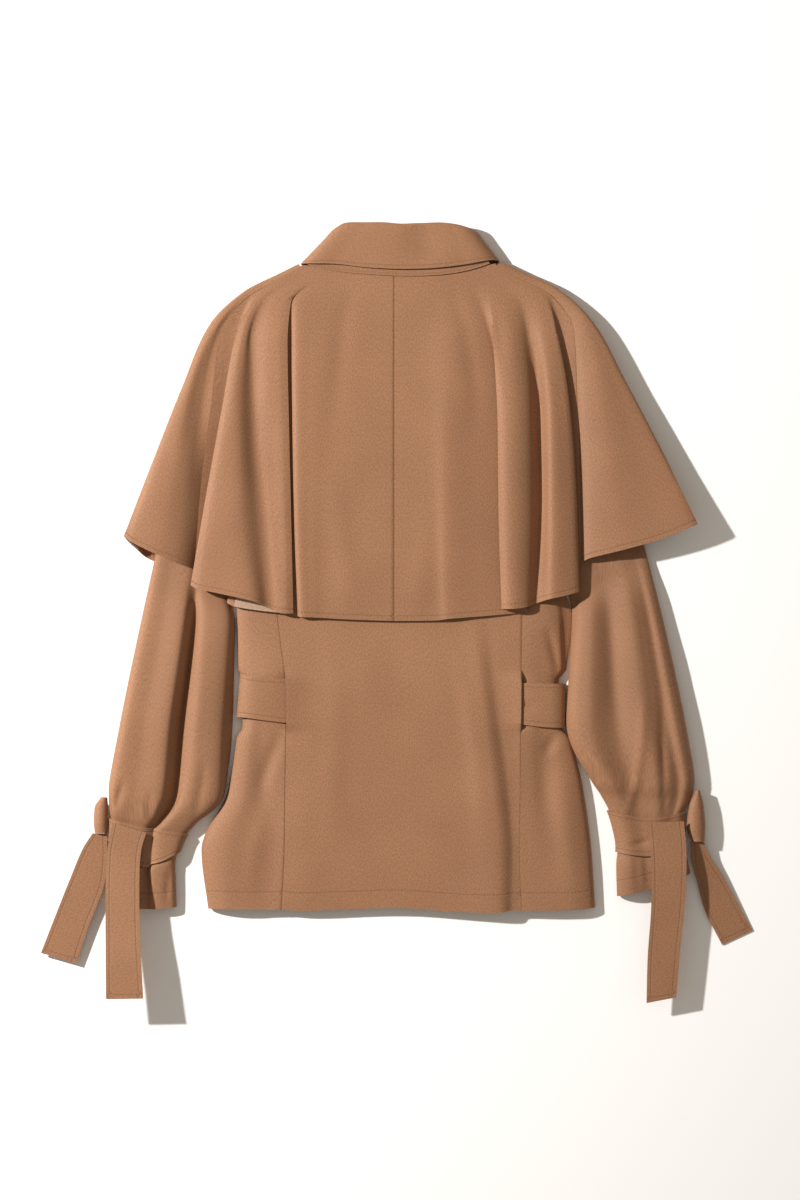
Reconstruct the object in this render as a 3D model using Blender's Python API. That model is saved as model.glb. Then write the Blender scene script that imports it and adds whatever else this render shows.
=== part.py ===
"""A cropped trench coat with a lined cape, laid face down and flat, with its back up.

+X is the wearer's right-hand side of the laid coat (the right of the picture of it), +Y points to
the collar and +Z up from the surface. Every panel is a sheet of cloth: a net of lines that run from
the neck to the hem, joined by smooth curves and given the cloth's thickness.

Places in the tables are read in steps of STEP metres: `u` counts them across from the left and `v`
down from the top. Heights are in millimetres above the surface, to the middle of the cloth.
"""

import bmesh
import bpy
import numpy as np

STEP = 0.00105
CENTRE_U = 396.8
CENTRE_V = 612.1
MM = 0.001
CLOTH = 0.0016
SEAM = 0.0003
PLY = (CLOTH + SEAM) / MM
FLOOR_Z = CLOTH / MM / 2
CELL = 0.013

FABRIC = (0.40, 0.20, 0.11, 1.0)
LINING = (0.52, 0.38, 0.28, 1.0)


def clear_scene():
    for old in list(bpy.data.objects):
        bpy.data.objects.remove(old, do_unlink=True)


def material(name, colour, roughness):
    finish = bpy.data.materials.new(name)
    finish.use_nodes = True
    shader = finish.node_tree.nodes["Principled BSDF"]
    shader.inputs["Base Color"].default_value = colour
    shader.inputs["Roughness"].default_value = roughness
    shader.inputs["Metallic"].default_value = 0.0
    return finish


def table(columns, text):
    """Rows of named numbers: the first word of each line is the row's name."""
    names = columns.split()
    rows = []
    for line in text.strip().splitlines():
        words = line.split()
        assert len(words) == len(names) + 1, line
        rows.append(dict(zip(names, map(float, words[1:]), strict=True), name=words[0]))
    return rows


def spot(u, v, z):
    """A place in the tables, in metres."""
    return np.stack(
        np.broadcast_arrays((u - CENTRE_U) * STEP, (CENTRE_V - v) * STEP, z * MM), axis=-1
    ).astype(float)


def ease(places, values, at):
    """A curve through the values that never swings past them (monotone cubic)."""
    places = np.asarray(places, float)
    values = np.asarray(values, float)
    step = np.diff(places)
    slope = np.diff(values) / step
    bend = np.zeros_like(values)
    bend[0], bend[-1] = slope[0], slope[-1]
    for k in range(1, len(values) - 1):
        before, after = slope[k - 1], slope[k]
        if before * after > 0:
            near, far = 2 * step[k] + step[k - 1], step[k] + 2 * step[k - 1]
            bend[k] = (near + far) / (near / before + far / after)
    k = np.clip(np.searchsorted(places, at, side="right") - 1, 0, len(places) - 2)
    w = (at - places[k]) / step[k]
    start = values[k] * (1 + 2 * w) + bend[k] * step[k] * w
    end = values[k + 1] * (3 - 2 * w) + bend[k + 1] * step[k] * (w - 1)
    return start * (1 - w) ** 2 + end * w**2


def through(points, counts, closed=False):
    """A smooth curve through the points, with counts[k] pieces between points k and k + 1."""
    points = np.asarray(points, float)
    if closed:
        points = np.vstack([points[-1:], points, points[:2]])
    gap = np.sqrt(np.linalg.norm(np.diff(points, axis=0), axis=1) + 1e-9)
    knots = np.concatenate([[0], np.cumsum(gap)])
    bend = np.gradient(points, knots, axis=0)
    first = 1 if closed else 0
    out = []
    for k, count in enumerate(counts):
        a, b, length = first + k, first + k + 1, gap[first + k]
        w = np.arange(count)[:, None] / count
        start = points[a] * (1 + 2 * w) + bend[a] * length * w
        end = points[b] * (3 - 2 * w) + bend[b] * length * (w - 1)
        out.append(start * (1 - w) ** 2 + end * w**2)
    if not closed:
        out.append(points[-1:])
    return np.vstack(out)


def net(lines, stations, at, cell=CELL, closed=False, counts=None):
    """A grid of points: `lines` holds a row of places for each fold line, one for each station.

    The grid has one section for each value of `at`, and enough points across for the cell size,
    or `counts` pieces between the lines. No section dips below its own lowest line.
    """
    lines = np.asarray(lines, float)
    sections = np.stack(
        [
            np.stack([ease(stations, lines[i, :, axis], at) for axis in range(3)], axis=-1)
            for i in range(len(lines))
        ]
    )
    following = np.roll(sections, -1, axis=0) if closed else sections[1:]
    leading = sections if closed else sections[:-1]
    if counts is None:
        spans = np.linalg.norm(following - leading, axis=2).max(axis=1)
        counts = np.maximum(1, np.round(spans / cell)).astype(int)
    grid = np.stack([through(sections[:, j], counts, closed) for j in range(len(at))], axis=1)
    grid[..., 2] = np.maximum(grid[..., 2], sections[..., 2].min(axis=0))
    return grid


def facing(grid, closed=False):
    """Unit normals of a grid of points."""
    if closed:
        along = np.roll(grid, -1, axis=0) - np.roll(grid, 1, axis=0)
    else:
        along = np.gradient(grid, axis=0)
    normal = np.cross(along, np.gradient(grid, axis=1))
    return normal / np.maximum(np.linalg.norm(normal, axis=2, keepdims=True), 1e-12)


def cloth(name, grid, finish, closed=False, thickness=CLOTH):
    """The grid as a sheet of cloth: a mesh grid moved to the points, with the cloth's thickness."""
    across, down = grid.shape[0] + int(closed), grid.shape[1]
    mesh = bpy.data.meshes.new(name)
    shape = bmesh.new()
    bmesh.ops.create_grid(shape, x_segments=across - 1, y_segments=down - 1, size=0.5)
    shape.verts.ensure_lookup_table()
    for vert in shape.verts:
        i = round((vert.co.x + 0.5) * (across - 1)) % grid.shape[0]
        j = round((vert.co.y + 0.5) * (down - 1))
        vert.co = grid[i, j]
    if closed:
        bmesh.ops.remove_doubles(shape, verts=shape.verts, dist=1e-6)
    shape.to_mesh(mesh)
    shape.free()
    sheet = bpy.data.objects.new(name, mesh)
    bpy.context.scene.collection.objects.link(sheet)
    mesh.materials.append(finish)
    mesh.shade_smooth()
    wall = sheet.modifiers.new("wall", "SOLIDIFY")
    wall.thickness = thickness
    wall.offset = 0.0
    wall.use_rim = True
    return sheet


# ---------------------------------------------------------------- the cape

# The shares of the way from the neck to the hem that the columns stand at. The second has no
# column: the cape lies level as far as that, under its neck binding.
CAPE_SHARES = (0.0, 0.03, 0.1, 0.22, 0.45, 0.72, 1.0)
CAPE_COLUMNS = "neck_u neck_v u1 u2 u3 u4 hem_u hem_v z0 z1 z2 z3 z4 z5"

# From the centre back seam to the seam beside the left front, one row for each fold line.
CAPE_BACK_LEFT = table(CAPE_COLUMNS, """
seam        394.6 271.5  394.6 394.6 394.6 394.6  394.6 621.0   11.7 12.3 13.8 16.3 16.8 15.0
flat_inner  372.0 271.2  368.0 365.0 360.0 356.0  352.0 619.6   11.7 12.4 14.1 17.2 17.4 15.5
flat_outer  354.0 270.6  343.0 338.0 332.0 327.0  323.0 618.0   11.7 12.8 15.2 18.0 18.0 16.0
rise        340.0 270.1  316.0 311.0 309.0 309.0  312.0 617.4   11.7 13.3 17.0 19.6 19.5 17.4
slit_crest  332.0 269.7  301.0 293.8 294.4 296.2  300.4 617.0   11.7 13.6 17.0 19.4 19.4 17.8
slit_wall   330.5 269.6  298.2 291.8 292.2 293.8  297.6 616.0   11.7 13.1 14.0 14.2 14.2 14.0
slit_floor  329.0 269.5  295.5 289.5 287.5 287.0  286.0 614.8   11.7 12.6 12.4 12.4 12.4 12.4
lower_end   326.5 269.4  293.6 284.0 274.0 258.0  234.0 606.0   11.7 12.4 12.4 12.4 12.4 12.4
left_turn   324.5 269.2  291.8 279.0 269.0 251.0  227.3 603.0   11.7 12.8 13.6 13.5 13.5 13.5
middle_end  322.5 269.1  290.4 281.6 273.5 257.0  234.0 606.6   11.7 13.2 14.9 14.6 14.6 14.6
middle      320.5 269.0  289.0 284.0 282.5 282.5  284.5 613.4   11.7 13.6 16.4 15.6 15.2 15.0
slit_edge   318.0 268.9  287.4 287.0 288.5 290.6  292.8 613.5   11.7 14.1 18.4 18.9 18.9 18.8
flare_lip   316.0 268.7  283.6 281.2 283.5 286.0  287.5 613.7   11.7 14.5 19.4 19.9 20.2 20.5
flare_ridge 313.5 268.5  274.0 266.0 267.0 272.5  280.5 613.0   11.7 14.4 18.0 18.9 19.6 20.4
trough      311.0 268.3  266.0 254.0 256.5 265.0  273.5 610.6   11.7 13.5 14.4 15.6 17.6 19.0
trough_foot 310.0 268.3  262.6 250.0 251.5 258.5  267.0 607.4   11.7 13.5 14.8 16.4 18.4 20.0
crest_inner 309.2 268.2  259.5 246.0 240.5 243.0  255.0 601.9   11.7 13.9 17.9 23.2 26.6 27.4
crest       308.0 268.2  257.2 241.5 232.0 222.0  217.0 593.0   11.7 14.0 18.8 24.8 28.4 29.2
edge_top    306.8 268.1  255.4 238.5 225.5 210.5  196.5 588.5   11.7 13.9 18.0 23.6 27.3 28.0
edge        305.7 268.0  253.8 236.3 222.3 206.8  191.5 585.5   11.7 13.7 17.5 21.4 25.0 25.6
turn_upper  304.9 268.0  252.4 238.6 228.0 214.0  199.0 582.0   11.7 13.4 15.8 16.8 17.6 17.8
turn        304.2 267.9  251.0 240.2 231.5 218.5  205.0 579.5   11.7 13.1 14.1 14.6 15.0 15.1
turn_lower  303.5 267.9  249.5 237.0 226.0 212.0  199.0 576.5   11.7 12.8 12.4 12.4 12.4 12.4
side_seam   302.9 267.8  248.0 220.6 211.6 201.6  194.6 569.0   11.7 12.8 14.2 15.3 15.4 13.4
""")

# From the centre back seam to the seam beside the right front.
CAPE_BACK_RIGHT = table(CAPE_COLUMNS, """
seam        395.0 271.5  395.0 395.0 395.0 395.0  395.0 621.0   11.7 12.3 13.8 16.3 16.8 15.0
flat_inner  418.0 271.3  420.0 424.0 430.0 434.0  438.0 620.3   11.7 12.5 14.4 17.4 17.5 15.5
flat_outer  437.0 270.6  447.0 450.0 447.0 446.0  448.0 619.0   11.7 13.2 16.4 19.4 19.6 17.5
slope       450.2 269.8  466.0 474.0 476.0 476.0  480.0 616.4   11.7 13.3 15.2 16.6 16.6 15.0
lower       457.3 269.3  475.0 488.5 498.0 500.0  502.5 614.5   11.7 12.9 13.4 14.2 14.4 13.6
lower_end   461.3 269.0  479.5 493.5 510.0 516.0  520.0 613.0   11.7 12.6 12.4 13.0 13.2 12.4
right_turn  463.8 268.9  482.5 496.5 515.5 522.0  527.0 612.0   11.7 12.8 13.7 14.3 14.3 14.3
middle_end  466.2 268.8  484.8 495.2 511.0 516.0  520.0 611.3   11.7 13.2 15.3 16.4 16.4 16.2
middle      468.3 268.7  486.8 494.2 502.0 503.5  506.0 610.4   11.7 13.6 16.6 17.0 17.0 16.7
flute_edge  470.5 268.6  488.8 493.6 498.0 499.0  502.0 609.0   11.7 14.0 18.6 19.4 19.4 18.9
flute_lip   473.0 268.4  492.0 499.0 503.5 505.0  507.5 609.0   11.7 14.4 18.8 23.4 24.2 23.4
flute_top   478.5 267.9  504.0 511.0 516.0 517.0  516.0 608.6   11.7 14.6 19.4 24.0 24.8 24.0
flute_fall  480.8 267.7  514.5 522.5 528.5 529.4  527.6 606.8   11.7 13.8 16.2 19.6 20.2 19.8
trough      482.8 267.5  520.5 529.5 536.0 537.5  534.0 603.8   11.7 13.2 12.5 12.4 12.4 12.6
flare_rise  486.0 267.2  527.0 534.0 541.0 542.4  540.6 601.6   11.7 13.7 15.0 16.2 16.6 16.4
crest       488.6 267.0  537.0 542.0 546.5 548.0  547.5 599.2   11.7 14.3 18.2 24.0 25.8 25.8
edge_top    490.7 266.9  543.5 554.0 561.5 566.0  568.0 594.9   11.7 14.2 18.6 23.0 24.4 24.6
edge        491.9 266.8  546.0 557.5 570.0 576.0  578.6 591.2   11.7 14.0 17.8 20.2 20.4 20.6
turn_upper  492.8 266.7  547.8 556.8 563.5 568.0  570.5 590.0   11.7 13.6 16.6 16.8 17.6 17.6
turn        493.6 266.6  549.4 556.4 560.5 564.5  565.5 588.5   11.7 13.2 14.3 14.2 15.0 15.1
turn_lower  494.4 266.5  551.0 561.0 565.0 570.0  572.5 587.0   11.7 12.8 12.4 12.4 12.4 12.4
side_seam   495.2 266.4  552.6 574.3 577.4 580.0  581.2 562.5   11.7 12.8 15.0 13.6 13.0 13.0
""")

# Round the left shoulder fold to the front, which lies underneath.
CAPE_FRONT_LEFT = table(CAPE_COLUMNS, """
side_seam   301.9 267.0  246.0 220.0 211.2 201.2  194.2 568.8   11.7 12.8 14.2 15.3 15.4 13.4
dip         301.0 266.3  245.5 217.6 203.5 194.0  188.5 566.9   11.6 12.8 15.0 15.2 20.0 18.6
slope       300.2 265.6  245.2 215.3 196.5 186.0  178.5 562.8   11.3 12.8 16.4 17.8 24.4 24.8
crest       299.4 265.0  245.0 213.5 188.0 172.0  157.0 554.3   10.8 12.6 16.6 21.2 28.0 30.4
rim         298.7 264.5  244.9 211.0 183.0 154.8  129.5 540.6   10.0 12.2 15.0 18.5 25.6 30.4
outline     298.2 264.2  244.5 210.3 182.7 153.9  124.9 536.6    8.8 10.6 11.5 13.5 20.0 28.6
under_rim   298.4 265.8  245.4 211.3 184.0 155.5  128.2 541.0    7.2  8.0  7.8  9.0 15.0 25.0
under_fall  299.6 269.6  245.0 212.0 186.5 157.5  137.0 549.5    4.4  4.4  3.4  3.6  6.0 14.0
under_floor 305.0 276.5  246.1 213.6 190.0 163.0  148.5 559.0    0.8  0.8  0.8  0.8  0.8  0.8
under_chest 320.0 287.5  288.0 268.0 252.0 238.0  226.0 585.0    0.8  0.8  0.8  0.8  0.8  0.8
under_inner 334.0 296.0  326.0 322.0 318.0 314.0  310.0 592.0    0.8  0.8  0.8  0.8  0.8  0.8
front_edge  346.0 301.5  345.0 344.0 343.5 343.0  342.0 594.0    0.8  0.8  0.8  0.8  0.8  0.8
""")

# Round the right shoulder fold to the front.
CAPE_FRONT_RIGHT = table(CAPE_COLUMNS, """
side_seam   495.9 266.2  553.5 574.8 578.0 580.7  581.6 562.3   11.7 12.8 15.0 13.6 13.0 13.0
slope       497.4 265.2  554.5 579.0 583.6 587.4  589.0 558.6   11.6 13.0 16.8 17.8 18.3 18.7
crest       498.8 264.2  555.5 584.6 600.5 609.0  623.0 550.0   11.4 13.2 18.0 22.0 24.0 25.8
flat        500.0 263.3  556.1 588.0 615.5 642.0  663.0 538.6   11.0 13.0 17.8 20.8 23.0 27.8
rim         501.0 262.5  556.2 590.2 624.4 660.0  689.0 527.8   10.2 12.2 16.6 18.6 22.0 29.0
outline     501.5 262.0  556.5 590.9 624.5 661.2  696.6 524.4    8.7 10.4 13.4 16.0 20.6 28.2
under_rim   501.0 263.8  555.6 589.5 622.6 658.6  692.5 525.4    6.9  7.8  9.6 11.6 15.8 25.0
under_fall  499.0 268.0  554.7 587.4 619.0 652.0  681.0 530.4    4.2  4.2  4.4  5.0  7.4 14.5
under_floor 492.0 279.0  558.0 585.0 610.0 637.0  662.0 538.0    0.8  0.8  0.8  0.8  0.8  0.8
under_chest 477.0 288.5  515.0 535.0 549.0 560.0  574.0 566.0    0.8  0.8  0.8  0.8  0.8  0.8
under_inner 462.0 296.5  478.0 486.0 492.0 496.0  500.0 590.0    0.8  0.8  0.8  0.8  0.8  0.8
front_edge  450.0 301.5  451.0 452.0 453.0 454.0  455.0 594.0    0.8  0.8  0.8  0.8  0.8  0.8
""")


def cape_lines(rows):
    """Each row's places, from its neck end to its hem end."""
    lines = []
    for row in rows:
        u = [row["neck_u"], row["u1"], row["u2"], row["u3"], row["u4"], row["hem_u"]]
        u.insert(1, u[0] + (u[1] - u[0]) * CAPE_SHARES[1] / CAPE_SHARES[2])
        v = row["neck_v"] + np.array(CAPE_SHARES) * (row["hem_v"] - row["neck_v"])
        z = [row["z0"], *(row[f"z{k}"] for k in range(6))]
        lines.append(spot(np.array(u), v, np.array(z)))
    return np.stack(lines)


LINING_CLOTH = 0.001
LINING_RISE = (CLOTH + LINING_CLOTH) / 2 + 2.5 * SEAM
LINING_HEM = 0.999
CAPE_AT = (0.0, 0.03, 0.06, 0.1, 0.15, 0.22, 0.32, 0.45, 0.58, 0.72, 0.86, 0.93, 1.0)
CAPE_CELL = 0.018


def cape_net(rows, at=CAPE_AT):
    return net(cape_lines(rows), CAPE_SHARES, np.array(at), cell=CAPE_CELL)


def lining_patch(name, rows, first, last, depth, finish):
    """The lining shows in two places only: the cape's own points between two fold lines, moved
    up off the cape's inner side. `depth` is its share of the cape's length, up from the hem, and
    the lining stops just short of the hem itself."""
    grid = cape_net(rows, (*CAPE_AT[:-1], 1 - depth, 1 - depth / 2, LINING_HEM))
    hems = cape_lines(rows)[:, -1]
    names = [row["name"] for row in rows]
    ends = [
        int(np.argmin(np.linalg.norm(grid[:, -1] - hems[names.index(each)], axis=1)))
        for each in (first, last)
    ]
    normal = facing(grid)
    normal = normal * np.sign(normal[..., 2:3])
    patch = (grid + normal * LINING_RISE)[ends[0] : ends[1] + 1, -3:]
    return cloth(name, patch, finish, thickness=LINING_CLOTH)


# The binding covers the cape's neck edge, from shoulder to shoulder.
BINDING = table("inner_u inner_v outer_u outer_v z", """
left        313.5 258.0  307.5 264.8  13.6
left_mid    330.0 260.0  325.0 268.9  13.6
left_back   350.0 262.5  346.0 272.3  13.6
back_left   372.0 264.0  371.0 274.3  13.6
centre      398.0 265.0  398.0 275.7  13.6
back_right  423.0 265.0  424.5 275.7  13.6
right_back  444.0 263.3  448.0 273.9  13.6
right_mid   463.0 259.6  470.5 269.7  13.6
right       482.0 254.5  490.0 263.4  13.6
""")


def cape_binding(finish):
    lines = [
        spot(
            np.array([row["inner_u"], row["outer_u"]]),
            np.array([row["inner_v"], row["outer_v"]]),
            np.array([row["z"], row["z"]]),
        )
        for row in BINDING
    ]
    grid = net(np.stack(lines), (0.0, 1.0), np.array([0, 0.5, 1.0]))
    return cloth("cape_neck_binding", grid, finish)


# ---------------------------------------------------------------- the collar

# Round the neck from one front end to the other. `lean` is the way from the stand to the fall, in
# degrees: 90 is up (the back of the neck), 180 to the left and 270 down to the surface (the front).
COLLAR = table("neck_u neck_v neck_z roll_u roll_v roll_z edge_u edge_v edge_z lean", """
end_left     352.0 290.0  4.2   364.0 262.0  3.2   350.0 287.0  0.8  270
front_left   323.0 279.0  4.4   348.0 238.0  3.6   316.0 273.5  0.8  262
under_left   310.0 268.6  5.6   342.6 232.6  5.4   303.0 266.2  3.4  225
fold_left    308.5 265.8  7.4   340.6 228.0  9.6   300.9 263.8  8.6  180
over_left    313.0 267.6  9.6   343.0 223.9 13.4   305.5 263.6 15.8  125
back_left    335.0 267.9  9.8   368.0 222.8 15.8   335.8 264.0 17.4   93
mid_left     366.0 268.2  9.8   385.0 222.9 17.0   366.0 267.4 17.6   90
centre       399.0 268.4  9.8   400.0 224.2 17.4   401.0 269.0 17.8   90
mid_right    431.0 268.0  9.8   420.0 223.6 17.0   432.0 268.2 17.8   90
back_right   462.0 266.8  9.8   445.0 223.2 15.8   463.0 264.8 17.4   87
over_right   484.5 265.1  9.6   464.0 226.6 14.0   490.0 260.3 15.8   55
fold_right   489.5 261.2  7.4   472.0 230.4  9.6   499.0 260.8  8.6    0
under_right  488.0 264.4  5.6   472.0 234.0  6.2   497.0 264.0  3.4  315
front_right  475.0 276.0  4.4   462.0 243.0  3.6   482.0 271.5  0.8  278
end_right    446.0 289.0  4.2   438.0 262.0  3.2   448.0 287.0  0.8  270
""")
COLLAR_SPREAD = 2.2
COLLAR_SIDEWAYS = np.array([0.8, 0.6])
ROLL_HALF = 0.07
STAND_MIDDLE = 0.5
STAND_SPREAD = 0.6
FALL_MIDDLE = 0.45
FALL_SPREAD = 0.9
COLLAR_PLACES = (0.0, 0.22, 0.44, 0.5, 0.56, 0.78, 1.0)
COLLAR_AT = (0.0, 0.2, 0.4, 0.45, 0.5, 0.55, 0.62, 0.8, 1.0)


def collar(finish):
    lines = []
    for row in COLLAR:
        lean = np.radians(row["lean"])
        side = np.cos(lean)
        sideways = COLLAR_SIDEWAYS * (side, abs(side))
        out = np.array([*sideways, np.sin(lean)]) * COLLAR_SPREAD * MM
        neck = spot(row["neck_u"], row["neck_v"], row["neck_z"])
        roll = spot(row["roll_u"], row["roll_v"], row["roll_z"])
        edge = spot(row["edge_u"], row["edge_v"], row["edge_z"])
        stand_top = roll + ROLL_HALF * (neck - roll) - out
        fall_top = roll + ROLL_HALF * (edge - roll) + out
        stand = roll + STAND_MIDDLE * (neck - roll) - STAND_SPREAD * out
        fall = roll + FALL_MIDDLE * (edge - roll) + FALL_SPREAD * out
        line = np.array([neck, stand, stand_top, roll, fall_top, fall, edge])
        line[:, 2] = np.maximum(line[:, 2], FLOOR_Z * MM)
        lines.append(line)
    grid = net(np.array(lines), COLLAR_PLACES, np.array(COLLAR_AT), cell=CAPE_CELL)
    return cloth("collar", grid, finish)


# ---------------------------------------------------------------- the body

BODY_LEVELS = (400.0, 560.0, 617.0, 700.0, 790.0, 850.0)
BODY_COLUMNS = (
    "top_u top_v u400 u560 u617 u700 u790 u850 hem_u hem_v "
    "z_top z560 z617 z700 z790 z850 z_hem slot pinch"
)
BACK_RISE = 9.0
SLOT_TOP = 671.0
SLOT_BOTTOM = 732.0
UNDERARM = 560.0

BACK_CENTRE = table(BODY_COLUMNS, """
seam_left   308.4 268.3   276 273.5 278.3 287.2   286 285.2 282.3 909.8  9.8    9 10.2 14.6 13.5   13 12.5    3   0
flat_left     322 268.3   300   300   303   308   306   304   302 910.9  9.8    9 10.4   15 14.5   14   13  0.6   0
inner_left    355 268.5   345   350   350   352   350   350   350 909.4  9.8    9 10.6 15.5   15   14 12.5    0   0
middle        397 268.8   397   400   402   405   405   403   402 908.2  9.8    9 10.6 15.5   15 14.5 13.5    0   0
inner_right   440 268.3   450   455   456   458   462   462   460   912  9.8    9 10.6   16 16.5   16 14.5    0   0
fold_crest    455 267.8   470   474   476   485   496   502   502 912.4  9.8    9 10.8   18 18.5   18 17.5    0   0
fold_foot     465 267.6   480   483 487.5   496   507 511.5 510.5 910.6  9.8    9 10.2 13.8 13.8 13.8   14  0.6   0
flat_right    476   267   497   500   503   508   513 515.5 515.5 910.7  9.8    9 10.2 13.8 13.2 13.2 13.2  1.4   0
seam_right    488   266   520   527 522.8 521.6 520.8 519.8 522.2 910.8  9.8    9 10.2 14.6 13.5   13 12.8    3   0
""")

# From the princess seam, over the side fold and under it to the side seam.
BACK_SIDE_LEFT = table(BODY_COLUMNS, """
seam        306.8 269.4 275.6 273.1 277.9 286.8 285.6 284.8 281.9 909.8  9.8    9 10.2 14.6 13.5   13 12.5 -2.6   0
inner         291 280.4   267   265   270   276   275   272   266   910  6.6    9 10.4 14.8   13   12 12.5 -0.8   0
middle        270 294.2   258   256   258   262   262   252   243   910  6.6    9 10.4 14.4 11.5   13   14    0   0
outer         252 306.1   248   249   247   249   244   222   222 909.2  6.6    9  9.8 12.6 13.5   15 13.5    0   2
edge        243.5 311.7 240.6   246 239.2   240 230.6 204.5 210.6   909  6.6  8.8  7.6  8.4    9   10    9    0 4.6
round       237.5 315.7   237 243.4   237 239.2 228.4 201.7 208.5   909  6.6  8.3  4.4  4.6  4.8  4.8  4.8    0 4.6
low         233.5 318.3 235.2   242 238.6   241 230.2 203.6 210.4 908.9  6.6  7.8  1.2  1.2  1.2  1.2  1.2    0 4.6
under         230 320.6 233.6   241 243.4 245.4 234.8 208.2 214.8 908.8  6.6  7.4  0.8  0.8  0.8  0.8  0.8    0 4.6
""")

BACK_SIDE_RIGHT = table(BODY_COLUMNS, """
seam        490.2 266.4 520.4 527.3 523.1 521.9 521.1 520.2 522.5 910.8  9.8    9 10.2 14.6 13.5   13 12.8 -2.6   0
inner       505.5 277.5   530   533   531   530   532   533   537 910.8  6.6    9 10.4 14.4   13 13.5 13.5 -0.8   0
middle        525 291.3   541   539   541   543   546   552   556 910.6  6.6    9 10.2 12.6 10.5 13.5   14    0   0
outer         542 303.3   551   545   551   555   566   573   577 909.9  6.6    9  9.6   11   13   14 13.5    0  -3
edge        550.5 309.3 557.8   550 559.4   562 580.6 588.6 592.6 908.2  6.6  8.6  7.6  8.4    9    9    9    0  -6
round       556.5 313.5 560.4 552.2 563.5 563.6   583   591 594.8 907.9  6.6  7.6  4.4  4.6  4.8  4.8  4.8    0  -6
underarm    559.5 315.6 561.4 553.1 571.5 563.4 582.2   590 593.8 907.9  6.6  6.9  3.0  2.6  2.6  2.6  2.6    0  -6
low         560.8 316.6 561.9 553.7   568   562 580.8 588.8 592.6 907.9  6.6  6.3  0.9  0.9  0.9  0.9  0.9    0  -6
under         564 318.8 563.2 554.2 554.8 557.6 576.8 584.8 588.6   908  6.6  5.2  0.8  0.8  0.8  0.8  0.8    0  -6
""")

# The fronts lie on the surface, over the cape's fronts and the belt.
FRONT_COLUMNS = "top_u top_v u400 u560 u617 u700 u790 u850 hem_u hem_v z_top lap pinch"
FRONT_LEFT = table(FRONT_COLUMNS, """
side      230.0 320.6  233.6 241.5 243.8 245.8 235.2 208.6 215.2 908.8   5.1 0 4.6
armhole   252.0 306.1  248.0 256.0 256.0 258.0 250.0 228.0 232.0 909.0   5.1 0 0
shoulder  291.0 280.4  275.0 280.0 280.0 280.0 275.0 262.0 262.0 909.0   5.1 0 0
neck_side 310.0 276.0  300.0 305.0 305.0 305.0 303.0 298.0 298.0 909.0   3.1 0 0
neck      323.0 284.5  330.0 335.0 335.0 335.0 335.0 335.0 335.0 909.0   3.1 0 0
chest     352.0 295.0  358.0 360.0 360.0 360.0 360.0 360.0 360.0 908.0   3.1 0 0
edge      430.0 303.0  430.0 430.0 430.0 430.0 430.0 430.0 430.0 908.0   3.1 0 0
""")
FRONT_RIGHT = table(FRONT_COLUMNS, """
side      564.0 318.8  563.2 553.6 554.4 557.2 576.4 584.4 588.2 908.0   5.1 0 -6.0
armhole   542.0 303.3  549.0 541.0 541.0 545.0 560.0 565.0 570.0 909.0   5.1 0 0
shoulder  505.5 277.5  525.0 520.0 520.0 520.0 522.0 525.0 530.0 910.0   5.1 0 0
neck_side 487.0 275.0  495.0 495.0 495.0 495.0 495.0 497.0 498.0 911.0   3.1 0 0
neck      476.0 281.5  468.0 468.0 468.0 468.0 468.0 468.0 468.0 911.0   3.1 0 0
chest     448.0 294.0  442.0 442.0 442.0 442.0 442.0 442.0 442.0 909.5   3.1 0 0
lap       440.0 296.0  433.5 433.5 433.5 433.5 433.5 433.5 433.5 909.0   5.0 1 0
edge      362.0 303.0  362.0 362.0 362.0 362.0 362.0 362.0 362.0 908.0   5.0 1 0
""")
CAPE_FRONT_END = 613.0
CAPE_CLEARANCE = 0.4
BELT_TOP = 660.0
BELT_BOTTOM = 742.0
BELT_REACH_Z = 3.0
BELT_REACH_FADE = 1.6
SHOULDER_ROLL = 8.0


def window(v, start, end, soft=9.0):
    """1 between start and end, 0 outside them, with soft shoulders inside the ends."""
    rise = np.clip((v - start) / soft, 0, 1)
    fall = np.clip((end - v) / soft, 0, 1)
    both = np.minimum(rise, fall)
    return both * both * (3 - 2 * both)


def body_line(row, levels, on_floor):
    """One fold line of a body panel, with a place at each level from its top to its hem."""
    top, hem = row["top_v"], row["hem_v"]
    knots = np.array([top, *BODY_LEVELS, hem])
    here = top + (levels - levels[0]) * (BODY_LEVELS[0] - top) / (BODY_LEVELS[0] - levels[0])
    here = np.where(levels > BODY_LEVELS[0], levels, here)
    here = np.where(levels == levels[-1], hem, here)
    u_knots = [row["top_u"], *(row[f"u{level:.0f}"] for level in BODY_LEVELS), row["hem_u"]]
    u = np.where(here <= UNDERARM, np.interp(here, knots, u_knots), ease(knots, u_knots, here))
    u = u + row["pinch"] * window(here, BELT_TOP, BELT_BOTTOM)
    if on_floor:
        over_cape = (PLY + CAPE_CLEARANCE) * window(here, 0.0, CAPE_FRONT_END)
        over_belt = PLY * window(here, BELT_TOP, BELT_BOTTOM)
        z = FLOOR_Z + over_cape + over_belt + PLY * row["lap"]
    else:
        lower = [row[f"z{level:.0f}"] for level in BODY_LEVELS[1:]]
        z_knots = [BACK_RISE, BACK_RISE, *lower, row["z_hem"]]
        z = ease(knots, z_knots, here)
        near_floor = np.clip((BELT_REACH_Z - z) / BELT_REACH_FADE, 0, 1) * (here > UNDERARM)
        z = z + near_floor * PLY * window(here, BELT_TOP, BELT_BOTTOM)
        z = z + row["slot"] * window(here, SLOT_TOP, SLOT_BOTTOM, soft=7.0)
    rolled = np.clip((here - top) / SHOULDER_ROLL, 0, 1)
    z = row["z_top"] + (z - row["z_top"]) * np.sqrt(1 - (1 - rolled) ** 2)
    return spot(u, here, z)


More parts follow.
